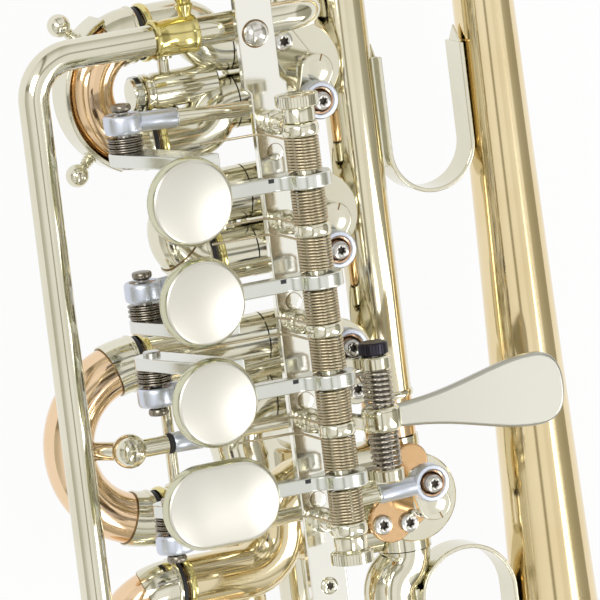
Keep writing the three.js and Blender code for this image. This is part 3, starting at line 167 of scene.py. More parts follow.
# Bell bow. A brass tube bent to a half circle behind the bell, drawn over the bell's tail and
# soldered; it leaves the first valve, dips below the leadpipe and comes round.
# Gold brass holds more copper and looks redder; polished nickel silver is pale with a yellow cast.
gold_brass = buffed_metal("lacquered gold brass", "#f2d9b8", "#e5bf92", 0.10, coat=0.2)
nickel = buffed_metal("polished nickel silver", "#ebe8d8", "#d3ceb6", 0.10)


class Run:
    """The way of a tube in straight stretches and bends, with its outside and bore radius."""

    def __init__(self, start, heading, outer, bore=0.0):
        self.at, self.heading = Vector(start), Vector(heading).normalized()
        self.outer, self.bore = outer, bore
        self.skin, self.hole = [], []
        self.mark()

    def mark(self, hole=True):
        self.skin.append((self.at, self.heading, self.outer))
        if hole:
            self.hole.append((self.at, self.heading, self.bore))
        return self

    def step(self, outer, bore=None):
        """The outside changes here, and the bore too where it is given."""
        self.outer, self.bore = outer, bore or self.bore
        return self.mark(bore is not None)

    def straight(self, length):
        self.at = self.at + self.heading * length
        return self.mark()

    def bend(self, towards, radius, angle, steps=0):
        plane = self.heading.cross(Vector(towards)).normalized()
        centre = self.at + plane.cross(self.heading) * radius
        steps = steps or max(3, round(degrees(angle) / 5))
        turn = Quaternion(plane, angle / steps)
        for _ in range(steps):
            self.at = centre + turn @ (self.at - centre)
            self.heading = turn @ self.heading
            self.mark()
        return self

    def sidestep(self, towards, distance, length):
        """An S of two equal bends."""
        radius = (distance ** 2 + length ** 2) / (4 * distance)
        angle = 2 * atan2(distance, length)
        ahead = self.heading
        return self.bend(towards, radius, angle, 8).bend(ahead, radius, angle, 8)


def pipe(name, run, stuff, around=36):
    """A closed tube, or a solid rod where the bore is 0, along a run."""
    loops = run.skin + (run.hole if run.bore > 0 else [])
    points, faces = [], []
    start = run.skin[0][1].orthogonal().normalized()
    n, heading = start, run.skin[0][1]
    for k, (at, direction, r) in enumerate(loops):
        if k == len(run.skin):
            n, heading = start, run.hole[0][1]
        n = heading.rotation_difference(direction) @ n
        heading = direction
        side = direction.cross(n)
        for m in range(around):
            a = 2 * pi * m / around
            points.append(at + (n * cos(a) + side * sin(a)) * r)
    pairs = [(k - 1, k) for k in range(1, len(run.skin))]
    last = len(run.skin) - 1
    if run.bore > 0:
        pairs += [(k, k - 1) for k in range(len(run.skin) + 1, len(loops))]
        pairs += [(last + 1, 0), (last, len(loops) - 1)]
    else:
        faces += [tuple(reversed(range(around))), tuple(range(last * around, (last + 1) * around))]
    for a, b in pairs:
        for m in range(around):
            k = (m + 1) % around
            faces.append((a * around + m, a * around + k, b * around + k, b * around + m))
    return piece_from(name, points, faces, stuff)


def band(name, radius, bore, begin, end, at, axis, stuff, soft=0.35):
    """A soldered ring or ferrule with softened edges."""
    edge = radius - soft * 0.3
    return turned(name, [(bore, begin), (radius - soft, begin), (edge, begin + soft * 0.3),
                         (radius, begin + soft), (radius, end - soft), (edge, end - soft * 0.3),
                         (radius - soft, end), (bore, end)], axis, at, stuff)


GAP = 0.3  # the solder seam that the CAD leaves between two pieces
TUBE, BORE, NECK = 6.2, 5.5, 6.7
LEAD_Y = 16.6
VALVE_PITCH = 36.1
ROTOR_X, ROTOR_Y = [-1.75 + (k - 1.5) * VALVE_PITCH for k in range(4)], [0, 0, 0, LEAD_Y]
REACH = 13.8  # from a rotor's axis to the end of a neck
tail = BELL_TAIL - GAP
bow = Run((ROTOR_X[0] - REACH - GAP, 0, 0), -X, NECK, BORE)
bow.straight(22).sidestep(-Z, 21, 28)
bow.straight(bow.at.x - tail)
across = Vector((0, BELL_Y, 21))
bow.bend(across, across.length / 2, pi).step(bell_radius(BELL_TAIL) + GAP)
joined("bell_bow_tube", [
    pipe("tube", bow, gold_brass),
    band("tail_ring", 8.0, 7.0, -2.6, 0, (tail - 0.4, BELL_Y, 0), X, nickel),
    band("valve_ring", 7.5, 6.6, -26, -20, (ROTOR_X[0] - REACH + 13, 0, 0), X, nickel),
], "horn", "bell_bow")

# Leadpipe and receiver. The pipe widens from the mouthpiece on; a nickel silver sleeve is slipped
# over its brass where the hand holds it, and a turned socket at its rear takes the mouthpiece.


def mirrored(half):
    """A lathe profile that is the same on both sides of 0, from its half below 0."""
    return half + [(r, -along) for r, along in reversed(half) if along]


# The sleeve's nickel silver is tinted a little towards brass, a painted reflection of the brass around it.
sleeve_nickel_brass_reflection = buffed_metal("nickel silver with painted brass reflection", "#ebe4cc", "#d4c9a9", 0.1)
lead_end = ROTOR_X[3] - REACH - GAP
SLEEVE = -105, 29
lead = (0, LEAD_Y, 0)
front = -158  # where the receiver ends; the pipe goes a third of its length into it
start = front - 34 / 3
joined("leadpipe_tube", [
    turned("tube", [(3.6, start), (4.3, start), (4.3, front + GAP), (4.9, front + GAP), (TUBE, SLEEVE[0]),
                    (TUBE, lead_end), (BORE, lead_end), (BORE, SLEEVE[0])], X, lead, gold_brass),
    band("sleeve", 6.35, 6.1, *SLEEVE, lead, X, sleeve_nickel_brass_reflection, 0.15),
    band("front_bead", 6.75, 6.1, SLEEVE[1] - 1.8, SLEEVE[1], lead, X, nickel, 0.5),
    band("rear_bead", 6.75, 6.1, SLEEVE[0], SLEEVE[0] + 1.8, lead, X, nickel, 0.5),
], "horn", "leadpipe")
swell = [(r, along - 175) for r, along in mirrored([(6.1, -2.6), (6.6, -2.2), (7.15, -1.0), (7.4, 0)])]
joined("receiver_socket", [turned("socket", [
    (4.9, -192), (7.0, -192), (7.4, -191.6), (7.4, -189.8), (7.0, -189.4), (6.1, -189.4), *swell,
    (6.1, front - 0.3), (5.8, front), (4.9, front)], X, lead, nickel)],
    "horn", "mouthpiece_receiver")

# Valves. Each casing is a turned nickel silver cup with four soldered necks; on its top stands the
# rotor's bearing and a plate with two lobes, where corks stop the arm. A cap screws on below.
# Satin steel is greyer and softer than the nickel, and a screw's socket lies in its own shade.
steel = buffed_metal("satin steel", "#dcdad5", "#b5b2ac", 0.22, grain=0.2, marks=0.05)
socket_dark = buffed_metal("socket shadow", "#5a544c", "#403b35", 0.5)
# Brass without lacquer has dulled to a deeper red; yellow brass is the greenest of the three.
deep_brass = buffed_metal("unlacquered gold brass", "#dcb98f", "#c49c6d", 0.16)
yellow_brass = buffed_metal("polished yellow brass", "#eadfa4", "#d2c176", 0.13)
PORT = 7  # from a rotor's axis to the axis of either port
SHORT_REACH = 10.5  # the third casing's neck towards the tuning slide
HEAD_SIDES = 36


def evaluated(made):
    """The piece with its modifiers carried out, as a plain mesh."""
    bpy.context.view_layer.update()
    graph = bpy.context.evaluated_depsgraph_get()
    data = bpy.data.meshes.new_from_object(made.evaluated_get(graph), depsgraph=graph)
    made.modifiers.clear()
    made.data = data
    return made


def plate(name, outline, thick, u, v, at, stuff, edge=0.4):
    """A flat plate cut to an outline along u and v, as thick along u x v, with polished edges."""
    u, v, at = Vector(u), Vector(v), Vector(at)
    up = u.cross(v)
    count = len(outline)
    points = [at + u * a + v * b + up * h for h in (0, thick) for a, b in outline]
    faces = [tuple(reversed(range(count))), tuple(range(count, 2 * count))]
    faces += [(k, (k + 1) % count, count + (k + 1) % count, count + k) for k in range(count)]
    made = piece_from(name, points, faces, stuff)
    if edge:
        soft = made.modifiers.new("edge", "BEVEL")
        soft.width, soft.segments = edge * MM, 3
        soft.limit_method, soft.angle_limit = "ANGLE", radians(50)
        soft.harden_normals = True
        evaluated(made)
    return made


def arc(cx, cy, r, a0, a1, steps=14):
    turns = [radians(a0 + (a1 - a0) * k / steps) for k in range(steps + 1)]
    return [(cx + r * cos(a), cy + r * sin(a)) for a in turns]


def tree_with(name, **inputs):
    """A geometry tree with its named inputs, and the sockets by which they enter it."""
    tree = bpy.data.node_groups.new(name, "GeometryNodeTree")
    for label, kind in (("Geometry", "Geometry"), *inputs.items()):
        tree.interface.new_socket(label, in_out="INPUT", socket_type="NodeSocket" + kind)
    tree.interface.new_socket("Geometry", in_out="OUTPUT", socket_type="NodeSocketGeometry")
    return tree, add_node(tree, "NodeGroupInput").outputs


def carried_out(name, data, tree, shape, stuff, **inputs):
    """The tree closed by Realize Instances and Set Material, and carried out as a plain mesh."""
    real = add_node(tree, "GeometryNodeRealizeInstances", {"Geometry": shape.outputs[0]})
    paint = add_node(tree, "GeometryNodeSetMaterial", {"Geometry": real.outputs[0], "Material": stuff})
    add_node(tree, "NodeGroupOutput", {"Geometry": paint.outputs[0]})
    made = placed(name, data)
    work = made.modifiers.new(name, "NODES")
    work.node_group = tree
    for label, value in inputs.items():
        work[[s.identifier for s in tree.interface.items_tree if s.name == label][0]] = value
    return evaluated(made)


def screws(name, places, radius, stuff, height):
    """Pan head screws with a six-lobed socket: one head is built and set on every place by nodes."""
    tree, entry = tree_with(name, Head="Object")
    head = turned("screw_head", [(radius * r, height * h) for r, h in (
        (0, 0.3), (0.36, 0.3), (0.4, 0.4), (0.41, 0.94), (0.46, 1), (0.66, 0.99), (0.88, 0.84), (1, 0.45),
        (1, 0), (0, 0))], Z, (0, 0, 0), stuff, HEAD_SIDES)
    for vertex in head.data.vertices:
        if 0.3 < vertex.co.xy.length / (radius * MM) < 0.43:
            lobe = 1 + 0.2 * cos(6 * atan2(vertex.co.y, vertex.co.x))
            vertex.co *= Vector((lobe, lobe, 1))
    info = add_node(tree, "GeometryNodeObjectInfo", {"Object": entry["Head"]})
    turn = add_node(tree, "GeometryNodeInputNamedAttribute", {"Name": "turn"}, data_type="QUATERNION")
    many = add_node(tree, "GeometryNodeInstanceOnPoints", {
        "Points": entry["Geometry"], "Instance": info.outputs["Geometry"], "Rotation": turn.outputs[0]})
    data = bpy.data.meshes.new(name)
    data.from_pydata([Vector(at) * MM for at, _ in places], [], [])
    turns = data.attributes.new("turn", "QUATERNION", "POINT")
    for k, (_, direction) in enumerate(places):
        turns.data[k].value = Vector(direction).to_track_quat("Z", "Y")
    made = carried_out(name, data, tree, many, stuff, Head=head)
    made.data.materials.append(socket_dark)
    # The first two rings of a head's faces are the floor of its socket, which lies in shadow.
    for k, face in enumerate(made.data.polygons):
        face.material_index = int(k % len(head.data.polygons) < 2 * HEAD_SIDES)
    bpy.data.objects.remove(head)
    return made


for i in range(4):
    x, y = ROTOR_X[i], ROTOR_Y[i]
    reach = SHORT_REACH if i == 2 else REACH
    if i == 3:
        # The fourth valve's plate is gold brass and has a wide lobe with two screws.
        lobe = arc(4, -7.5, 5.6, -160, 40) + [(4.6, 2.2), (1.5, 4.4)]
        lobe += arc(-9.3, -0.6, 4.2, 80, 260) + [(-4, -5.2)]
        ways, stop_stuff, stops = (X, Y), deep_brass, [(4.7, -10.2), (5.3, -3.4)]
    else:
        lobe = [(-8, -3.8), (0, -4.2)] + arc(8, 0, 3.8, -90, 90) + [(0, 4.2)] + arc(-8, 0, 3.8, 90, 270)[:-1]
        c, s = cos(radians(30)), sin(radians(30))
        ways, stop_stuff, stops = ((c, s, 0), (-s, c, 0)), nickel, [(8 * c, 8 * s), (-8 * c, -8 * s)]
    parts = [
        turned("body", [
            (8.9, -11), (9.7, -11), (10, -10.7), (10, 9.4), (10.5, 9.4), (10.8, 9.7), (10.8, 10.7),
            (10.5, 11), (4.2, 11), (4.2, 19.5), (3.8, 19.9), (2.65, 19.9), (2.65, 8.5), (8.9, 8.5)],
            Z, (x, y, 0), nickel, 72),
        pipe("neck_rear", Run((x - REACH, y, 0), X, NECK, BORE).straight(REACH - 9.4), nickel),
        pipe("neck_front", Run((x + 9.4, y, 0), X, NECK, BORE).straight(reach - 9.4), nickel),
        plate("stop_plate", lobe, 2.0, *ways, (x, y, 11), stop_stuff),
        screws("stop_screws", [((x + a, y + b, 12.9), Z) for a, b in stops], 2.45, steel, 1.3),
    ]
    for port in (x - PORT, x + PORT):
        parts.append(pipe("port", Run((port, y - REACH, 0), Y, NECK, BORE).straight(REACH - 7.2), nickel))
    joined(f"valve_casing_{i + 1}", parts, "horn", f"casing_{i + 1}")
    joined(f"screw_cap_{i + 1}", [turned("cap", [
        (0, -16), (2.7, -16), (3, -15.7), (3, -14.7), (9.0, -14.7), (9.7, -14.5), (10.3, -13.2),
        (10.8, -11.6), (10.8, -11.3), (8.6, -11.3), (8.6, -8.5), (0, -8.5)], Z, (x, y, 0), nickel, 72)],
        "horn", f"valve_cap_{i + 1}")
    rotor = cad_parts[f"rotor_{i + 1}"].data.materials
    rotor.clear()
    rotor.append(yellow_brass)

# Stop arms. A nickel silver arm is slit and clamped on each rotor's spindle with a screw;
# its nose strikes the corks and carries the stud of the link.
# Solder seams have gathered polish, and read as dull brown lines; the clamp's slit is a thin brown sheet on
# the arm, painted shade in its cut.
solder_and_cut_shade = buffed_metal("dark solder seam, painted shade in cuts", "#8d7552", "#6d5535", 0.3)
ARM, ARM_Z, LINK_Z = 6.7, 20.6, 27
ARM_REST = radians(-22.5)
outline = arc(0, 0, 4.2, 90, 270, 22) + arc(ARM, 0, 3.2, -90, 90, 18)
link_ends = []
for i in range(4):
    ahead = 1 if i < 2 else -1
    along = Vector((ahead * cos(ARM_REST), sin(ARM_REST), 0))
    hub = Vector((ROTOR_X[i], ROTOR_Y[i], ARM_Z))
    link_ends.append(hub + along * ARM + Z * (LINK_Z - ARM_Z))
    across = Z.cross(along)
    joined(f"clamp_arm_{i + 1}", [
        plate("arm", outline, 2.2, along, across, hub, nickel),
        turned("hub", [(0, 0), (3.5, 0), (3.5, 1.5), (3.1, 2.1), (2.0, 2.35), (0, 2.4)], Z, hub, nickel, 48),
        # The slit: a thin brown sheet on the arm's top, painted shade where the clamp is cut.
        plate("slit", [(-4.1, -0.18), (-1.2, -0.18), (-1.2, 0.18), (-4.1, 0.18)], 0.1, along, across,
              hub + Z * 2.15, solder_and_cut_shade, 0),
    ], f"rotor_{i + 1}", f"stop_arm_{i + 1}")

# Knuckles. Short gold brass tubes that join the first three casings, soldered into their necks.
for i in range(2):
    knuckle = band("knuckle", TUBE, BORE, 0, VALVE_PITCH - 2 * (REACH + GAP),
                   (ROTOR_X[i] + REACH + GAP, 0, 0), X, gold_brass)
    joined(f"knuckle_tube_{i + 1}", [knuckle], "horn", f"knuckle_{i + 1}{i + 2}")

# Tuning slide. Two brass tubes in nickel silver sleeves take the long legs of the U-shaped slide,
# which the player pulls forward to tune; rings are soldered to the sleeves' mouths.
# The rubber rings between sleeve and slide are black and dull, with only a broad faint sheen; the same black
# is used as painted shade in small holes and slots.
rubber_and_hole_shade = buffed_metal("black rubber, painted hole shade", "#2b292c", "#1c1b1e", 0.55)
rubber_and_hole_shade.node_tree.nodes["Principled BSDF"].inputs["Metallic"].default_value = 0
OUTER, OUTER_BORE, INNER, INNER_BORE = 6.6, 6.0, 5.7, 4.9
SLEEVE_X, MOUTH_X = 96, 140
outlet = Run((ROTOR_X[3] + REACH + GAP, LEAD_Y, 0), X, TUBE, BORE).sidestep(-Y, 5.1, 10.5)
outlet.straight(SLEEVE_X - outlet.at.x).step(OUTER, OUTER_BORE).straight(MOUTH_X - SLEEVE_X)
back = Run((ROTOR_X[2] + SHORT_REACH + GAP, 0, 0), X, TUBE, BORE)
back.bend(-Z, 7.5, pi / 2).straight(11).bend(X, 7.5, pi / 2)
back.straight(SLEEVE_X - back.at.x).step(OUTER, OUTER_BORE).straight(MOUTH_X - SLEEVE_X)
jacket = Run((ROTOR_X[3] + REACH + GAP, LEAD_Y, 0), X, 6.32, 6.22).sidestep(-Y, 5.1, 10.5)
jacket.straight(SLEEVE_X - 3 - jacket.at.x)
for name, run, stuff, slot, node in (
        ("outlet_tube", outlet, gold_brass, "gold_brass", "tuning_outlet_tube"),
        ("return_tube", back, nickel, "nickel_silver", "tuning_return_tube")):
    low = (0, run.at.y, run.at.z)
    parts = [
        pipe("tube", run, stuff),
        band("collar", 7.1, 6.3, SLEEVE_X, SLEEVE_X + 2.6, low, X, nickel, 0.8),
        band("sleeve", 6.7, 6.55, SLEEVE_X + 2.6, MOUTH_X - 2.6, low, X, nickel, 0.1),
        band("mouth", 7.1, 6.2, MOUTH_X - 2.6, MOUTH_X, low, X, nickel, 0.8),
    ]
    if run is outlet:
        parts.append(pipe("jacket", jacket, nickel))
    joined(name, parts, "horn", node)

BOW, RUBBER = 6.15, 1.8  # the bow's radius, and the room for the ring between a mouth and the ferrule


def slide_bow(mouth_a, mouth_b, outward, reach, stuff):
    """Two legs, the bow between them, ferrules with turned beads, and rubber rings on the legs."""
    bow_radius = (mouth_b - mouth_a).length / 2
    run = Run(mouth_a - outward * reach, outward, INNER, INNER_BORE).straight(reach + RUBBER).step(BOW, 5.3)
    run.bend(mouth_b - mouth_a, bow_radius, pi, 40).step(INNER, INNER_BORE).straight(reach + RUBBER)
    parts = [pipe("bow", run, stuff, 40)]
    for mouth, other in ((mouth_a, mouth_b), (mouth_b, mouth_a)):
        base = mouth + outward * RUBBER
        cuff = Run(base, outward, NECK, BORE).bend(other - mouth, bow_radius, 6.2 / bow_radius, 8)
        parts += [
            pipe("cuff", cuff, nickel, 40),
            band("bead", 6.95, 6.0, -0.1, 1.2, base, outward, nickel, 0.5),
            band("seam", 6.4, 6.0, -0.1, 0.22, cuff.at, cuff.heading, solder_and_cut_shade, 0.08),
            band("ring", 6.4, 5.6, -1.5, -0.2, base, outward, rubber_and_hole_shade, 0.5),
        ]
    return parts


joined("tuning_bow", slide_bow(outlet.at, back.at, X, 34, gold_brass), "tuning_slide",
       "main_tuning_slide")

# Valve slides. Pairs of nickel silver tubes leave each casing to the player's right; a bow of
# gold brass, or of nickel silver on the second, is pushed in up to its rubber rings.


def rod(name, a, b, r, stuff):
    """A turned pin or stay between two points, its ends broken by a small chamfer."""
    a, b = Vector(a), Vector(b)
    length = (b - a).length
    return turned(name, [(0, 0), (r - 0.25, 0), (r, 0.25), (r, length - 0.25), (r - 0.25, length),
                         (0, length)], b - a, a, stuff, 32)


def knurled(name, at, axis, radius, width, teeth, stuff):
    """A ring of fine teeth, which nodes set round its axis."""
    tree, entry = tree_with(name, Teeth="Int", Radius="Float", Width="Float")
    ring = add_node(tree, "GeometryNodeMeshCircle", {"Vertices": entry["Teeth"], "Radius": entry["Radius"]})
    place = add_node(tree, "GeometryNodeInputPosition")
    turn = add_node(tree, "FunctionNodeAlignRotationToVector", {"Vector": place.outputs[0]}, axis="X")
    size = add_node(tree, "ShaderNodeCombineXYZ", {"X": 0.55 * MM, "Y": 0.62 * MM, "Z": entry["Width"]})
    tooth = add_node(tree, "GeometryNodeMeshCube", {"Size": size.outputs[0]})
    many = add_node(tree, "GeometryNodeInstanceOnPoints", {
        "Points": ring.outputs[0], "Instance": tooth.outputs[0], "Rotation": turn.outputs[0]})
    made = carried_out(name, bpy.data.meshes.new(name), tree, many, stuff, Teeth=teeth,
                       Radius=(radius - 0.2) * MM, Width=width * MM)
    turn = Vector(axis).to_track_quat("Z", "Y").to_matrix().to_4x4()
    made.data.transform(Matrix.Translation(Vector(at) * MM) @ turn)
    return made


# Flat nickel silver is ground and stays cooler and softer; the fourth slide's tubes are given a warmer,
# golden tint.
flat_metal = buffed_metal("ground nickel silver", "#e6e7e1", "#d0d2ca", 0.2)
warm_nickel = buffed_metal("warm tinted nickel silver", "#efe3c2", "#d8c497", 0.1)
BOW_3_X = 47
pairs = []
for i, end_y, near_way, far_way in (
        (0, -35.2, lambda r: r.sidestep(-X, 6, 12), lambda r: r.sidestep(X, 6, 12)),
        (1, -24, None, None),
        (2, -45.4, None, lambda r: r.sidestep(X, BOW_3_X - ROTOR_X[2] - PORT, 17.5)),
        (3, -42, lambda r: r.straight(8).sidestep(X, 64.5 - ROTOR_X[3] + PORT, 20),
         lambda r: r.sidestep(-Z, 14, 16).sidestep(X, 84 - ROTOR_X[3] - PORT, 18))):
    mouths, parts = [], []
    for side, way in ((-1, near_way), (1, far_way)):
        run = Run((ROTOR_X[i] + side * PORT, ROTOR_Y[i] - REACH - GAP, 0), -Y, OUTER, OUTER_BORE)
        if way:
            way(run)
        run.straight(run.at.y - end_y)
        mouths.append(run.at)
        parts.append(pipe("outer", run, warm_nickel if i == 3 else nickel, 40))
        parts.append(band("mouth_ring", 7.1, 6.2, -1.9, 0, run.at, -Y, yellow_brass, 0.6))
    a, b = (m + Y * 5.2 for m in mouths)
    way = (b - a).normalized()
    parts.append(rod("stay", a + way * 6, b - way * 6, 1.4, nickel))
    for m, inward in ((a, way), (b, -way)):
        parts.append(turned("stay_foot", [(0, 6.2), (2.6, 6.2), (2.4, 7.0), (1.4, 7.4), (0, 7.4)], inward, m,
                            nickel, 32))
    if i == 0:
        # The stay of the first pair carries a barrel with a ribbed knob.
        at = Vector(((a.x + b.x) / 2 + 1.4, 0, 0))
        parts.append(turned("barrel", [
            (0, 17.6), (3.9, 17.6), (4.4, 18.1), (4.4, 33.2), (4.2, 33.6), (4.2, 34.6), (4.5, 35.0),
            (4.5, 36.2), (4.1, 36.5), (3.4, 36.5), (3.4, 37.2), (4.0, 37.2), (4.0, 38.8), (3.6, 39.3),
            (0, 39.5)], -Y, at, nickel))
        parts.append(knurled("barrel_knob", at - Y * 38.0, Y, 4.3, 1.5, 34, flat_metal))
    joined(f"slide_tubes_{i + 1}", parts, "horn", f"slide_{i + 1}_tubes")
    pairs.append(mouths)

for i, (a, b) in enumerate(pairs):
    stuff, slot = (nickel, "nickel_silver") if i == 1 else (gold_brass, "gold_brass")
    parts = slide_bow(a, b, -Y, 14 if i == 2 else 9, stuff)
    if i == 0:
        # A strip bent round the first slide's bow guards it; two turned finials stand on it.
        middle, edge = (a + b) / 2 - Y * RUBBER, (b.x - a.x) / 2 + BOW
        strip = arc(0, 0, edge + 1.2, -156, -24, 48) + arc(0, 0, edge + 0.02, -24, -156, 48)
        parts.append(plate("guard", strip, 9, X, Y, middle - Z * 4.5, nickel, 0.3))
        finial = [(0, -0.3), (1.7, -0.3), (1.75, 0.2), (1.25, 0.5), (1.55, 0.9), (1.2, 1.25), (1.5, 1.6),
                  (1.15, 1.95), (1.4, 2.3), (0.95, 2.6)]
        turns = (0.34 + 2.76 * k / 18 for k in range(19))
        finial += [(2.8 * sin(t), 5.3 - 2.8 * cos(t)) for t in turns]
        for side in (-1, 1):
            way = Vector((side, -1, 0)).normalized()
            parts.append(turned("finial", finial + [(0, 8.1)], way, middle + way * (edge + 1.2), nickel, 40))
    joined(f"slide_bow_{i + 1}", parts, f"slide_{i + 1}", f"slide_{i + 1}_bow")

# Lever rack. A nickel silver rail carries five turned posts for the shaft, brackets that tie it to
# the tubes below, and the two ears of the thumb lever.
SHAFT_Y, SHAFT_Z = -18.4, 53.0
SHAFT = Vector((0, SHAFT_Y, SHAFT_Z))
PITCH = 24.0
LEVER_X = [(k - 1.5) * PITCH for k in range(4)]
RAIL_Z, RAIL_HALF = SHAFT_Z - 17, 1.25
ON_RAIL = RAIL_Z + 1.2  # just below its upper face, so that what stands there is fused with it
THUMB = Vector((26.4, -1.1, 39.0))
HAND_END = 96  # where the hand rail ends below the seat
EAR = 13.6  # from the thumb lever's middle to the middle of either ear


def slab(name, x0, x1, y0, y1, z0, z1, stuff, edge=0.4):
    return plate(name, [(x0, y0), (x1, y0), (x1, y1), (x0, y1)], z1 - z0, X, Y, (0, 0, z0), stuff, edge)


# The rail is nickel silver coloured almost white on its flat face, a painted reflection of the white studio;
# the dome is a little greyer.
rail_painted_reflection = buffed_metal("nickel silver with painted white reflection", "#faf9f2", "#f1efe5", 0.1, marks=0.0, wear=0.1)
silver_dome = buffed_metal("bright screw dome", "#e9e7e2", "#cfccc6", 0.16)
rack = [plate("rail", [(-90, -6.3), (-57, -6.3), (-55.5, -4.9), (101, -4.9), (101, 4.5), (-57, 4.5),
                       (-58.5, 3.0), (-90, 3.0)], 2 * RAIL_HALF, X, Y, (0, SHAFT_Y, RAIL_Z - RAIL_HALF),
              rail_painted_reflection)]
for n in range(-2, 3):
    at = SHAFT + X * n * PITCH
    rack += [
        turned("post", [
            (0, 0), (2.9, 0), (3.0, 0.5), (2.7, 1.0), (2.0, 1.3), (1.9, 1.8), (2.4, 2.8), (2.6, 4.2),
            (2.45, 5.6), (2.0, 6.6), (1.95, 7.0), (2.3, 7.7), (2.4, 9.2), (2.2, 10.8), (1.8, 12.0),
            (1.9, 13.6), (0, 13.6)], Z, (at.x, SHAFT_Y, ON_RAIL), nickel, 48),
        turned("barrel", mirrored([(2.4, -1.6), (3.9, -1.6), (4.2, -1.4), (4.4, -0.8), (4.47, 0)]), X, at,
               nickel, 64),
        # A tiny black disc on each barrel: painted shade in its punched hole.
        turned("punch", [(0, 0), (0.28, 0), (0.28, 0.05), (0, 0.05)], (0, -0.37, 0.93),
               at + Vector((0, -1.58, 3.98)), rubber_and_hole_shade, 12),
    ]
rack += [
    slab("rear_leg", -90, -82, SHAFT_Y - 1.5, SHAFT_Y + 1.5, -1.5, RAIL_Z, nickel),
    slab("rear_foot", -90, -82, SHAFT_Y, -7.0, -1.5, 1.5, nickel),
    slab("rear_wing", -85, -82, -41.5, SHAFT_Y, 24, 32, nickel),
    slab("front_leg", 85, 88, SHAFT_Y - 1.5, SHAFT_Y + 1.5, -1.5, RAIL_Z, nickel),
    slab("front_foot", 85, 88, SHAFT_Y, 5.0, -1.5, 1.5, nickel),
    turned("seat", [(0, 0), (3.6, 0), (4, 0.4), (4, 4.1), (0, 4.1)], Z, (HAND_END, SHAFT_Y, 31.95),
           nickel, 48),
]
for side in (-1, 1):
    x = THUMB.x + side * EAR - 1.6
    rack += [
        slab("ear_arm", x, x + 3.2, SHAFT_Y + 4.2, THUMB.y, RAIL_Z - RAIL_HALF, RAIL_Z + RAIL_HALF, nickel),
        turned("ear", [(1.7, 0), (3.5, 0), (3.9, 0.4), (3.9, 2.8), (3.5, 3.2), (1.7, 3.2)], X,
               (x, THUMB.y, THUMB.z), nickel),
    ]
dome = (-69.6, SHAFT_Y - 2.0, ON_RAIL)
rack += [
    screws("rail_screws", [((x, SHAFT_Y - 0.4, ON_RAIL), Z) for x in (64, 92)], 2.1, nickel, 0.7),
    turned("dome", [(0, 0), (3.0, 0), (3.05, 0.5), (2.9, 1.1), (2.5, 1.7), (1.8, 2.2), (0.9, 2.5), (0, 2.55)],
           Z, dome, silver_dome, 48),
    band("dome_ring", 3.4, 3.05, 0, 0.14, dome, Z, solder_and_cut_shade, 0.05),
]
for x in (-41, -5, 19, 43):
    at = (x, SHAFT_Y - 0.6, ON_RAIL + 0.02)
    rack += [
        turned("rivet", [(0, 0), (1.95, 0), (1.95, 0.05), (1.7, 0.08), (0, 0.09)], Z, at, rail_painted_reflection, 32),
        band("rivet_ring", 2.1, 1.96, 0, 0.06, at, Z, solder_and_cut_shade, 0.02),
    ]
joined("lever_rail", rack, "horn", "lever_rack")

# Lever shaft. A nickel silver rod on which all levers turn; a knurled screw head at the rear and a
# knurled nut in front close it, and their fine teeth are set round by nodes.
tip = 2 * PITCH + 1.5 + GAP
shaft = [turned("shaft", mirrored([(r, -tip - beyond) for r, beyond in (
    (0, 6.7), (3.6, 6.7), (4.8, 6.3), (4.9, 3.9), (4.6, 3.6), (3.7, 3.4), (3.9, 3.0), (3.9, 0.3), (3.6, 0),
    (2.4, 0))]), X, SHAFT, nickel, 64)]
for side in (-1, 1):
    shaft.append(knurled("knurl", SHAFT + X * side * (tip + 5.15), X, 5.05, 2.5, 44, nickel))
joined("lever_shaft_rod", shaft, "horn", "lever_shaft")

# Levers. Each is a flat nickel silver bar with an eye on the shaft; a foot below it holds the lower
# arm, whose bolt carries the link on a stack of thin washers.
# Pins and washers between oiled joints have browned.
pin_steel = buffed_metal("worn pin steel", "#a39c90", "#6f675b", 0.25)
JOINT_BALL = mirrored([(0, -2.35), (1.5, -2.35), (2.1, -1.8), (2.6, -0.8), (2.72, 0)])
BALL_OUT = 8.2  # from the lower arm's middle to the ball on its bolt
OFFSETS, SIDES = [-8.3, 7.9, -7.2, 4.4], [-1, -1, 1, 1]
EYE, BAR_TOP, BAR_LOW = 6.0, 0.6, -3.2
ARM_REACH, ARM_DROP = 34, 26
neck = EYE * cos(radians(45))
bar = [(ARM_REACH, BAR_TOP), (neck * 2, BAR_TOP)]
bar += [(neck + neck * (1 - t) ** 2, BAR_TOP + (neck - BAR_TOP) * t ** 1.6) for t in (0.3, 0.6, 0.85)]
bar += arc(0, 0, EYE, 45, 315, 44) + [(neck * 2, BAR_LOW), (ARM_REACH, BAR_LOW)]
slant = degrees(atan2(ARM_DROP - 1.3, 29.5 - ARM_REACH))
lower_arm = [(21, 0.3), (29.5, 0.3)] + arc(ARM_REACH, -ARM_DROP, 4.3, slant - 90, slant - 270, 20)
foot = [(21, -2.3), (29.2, -2.3), (29.2, 0), (21, 0)]
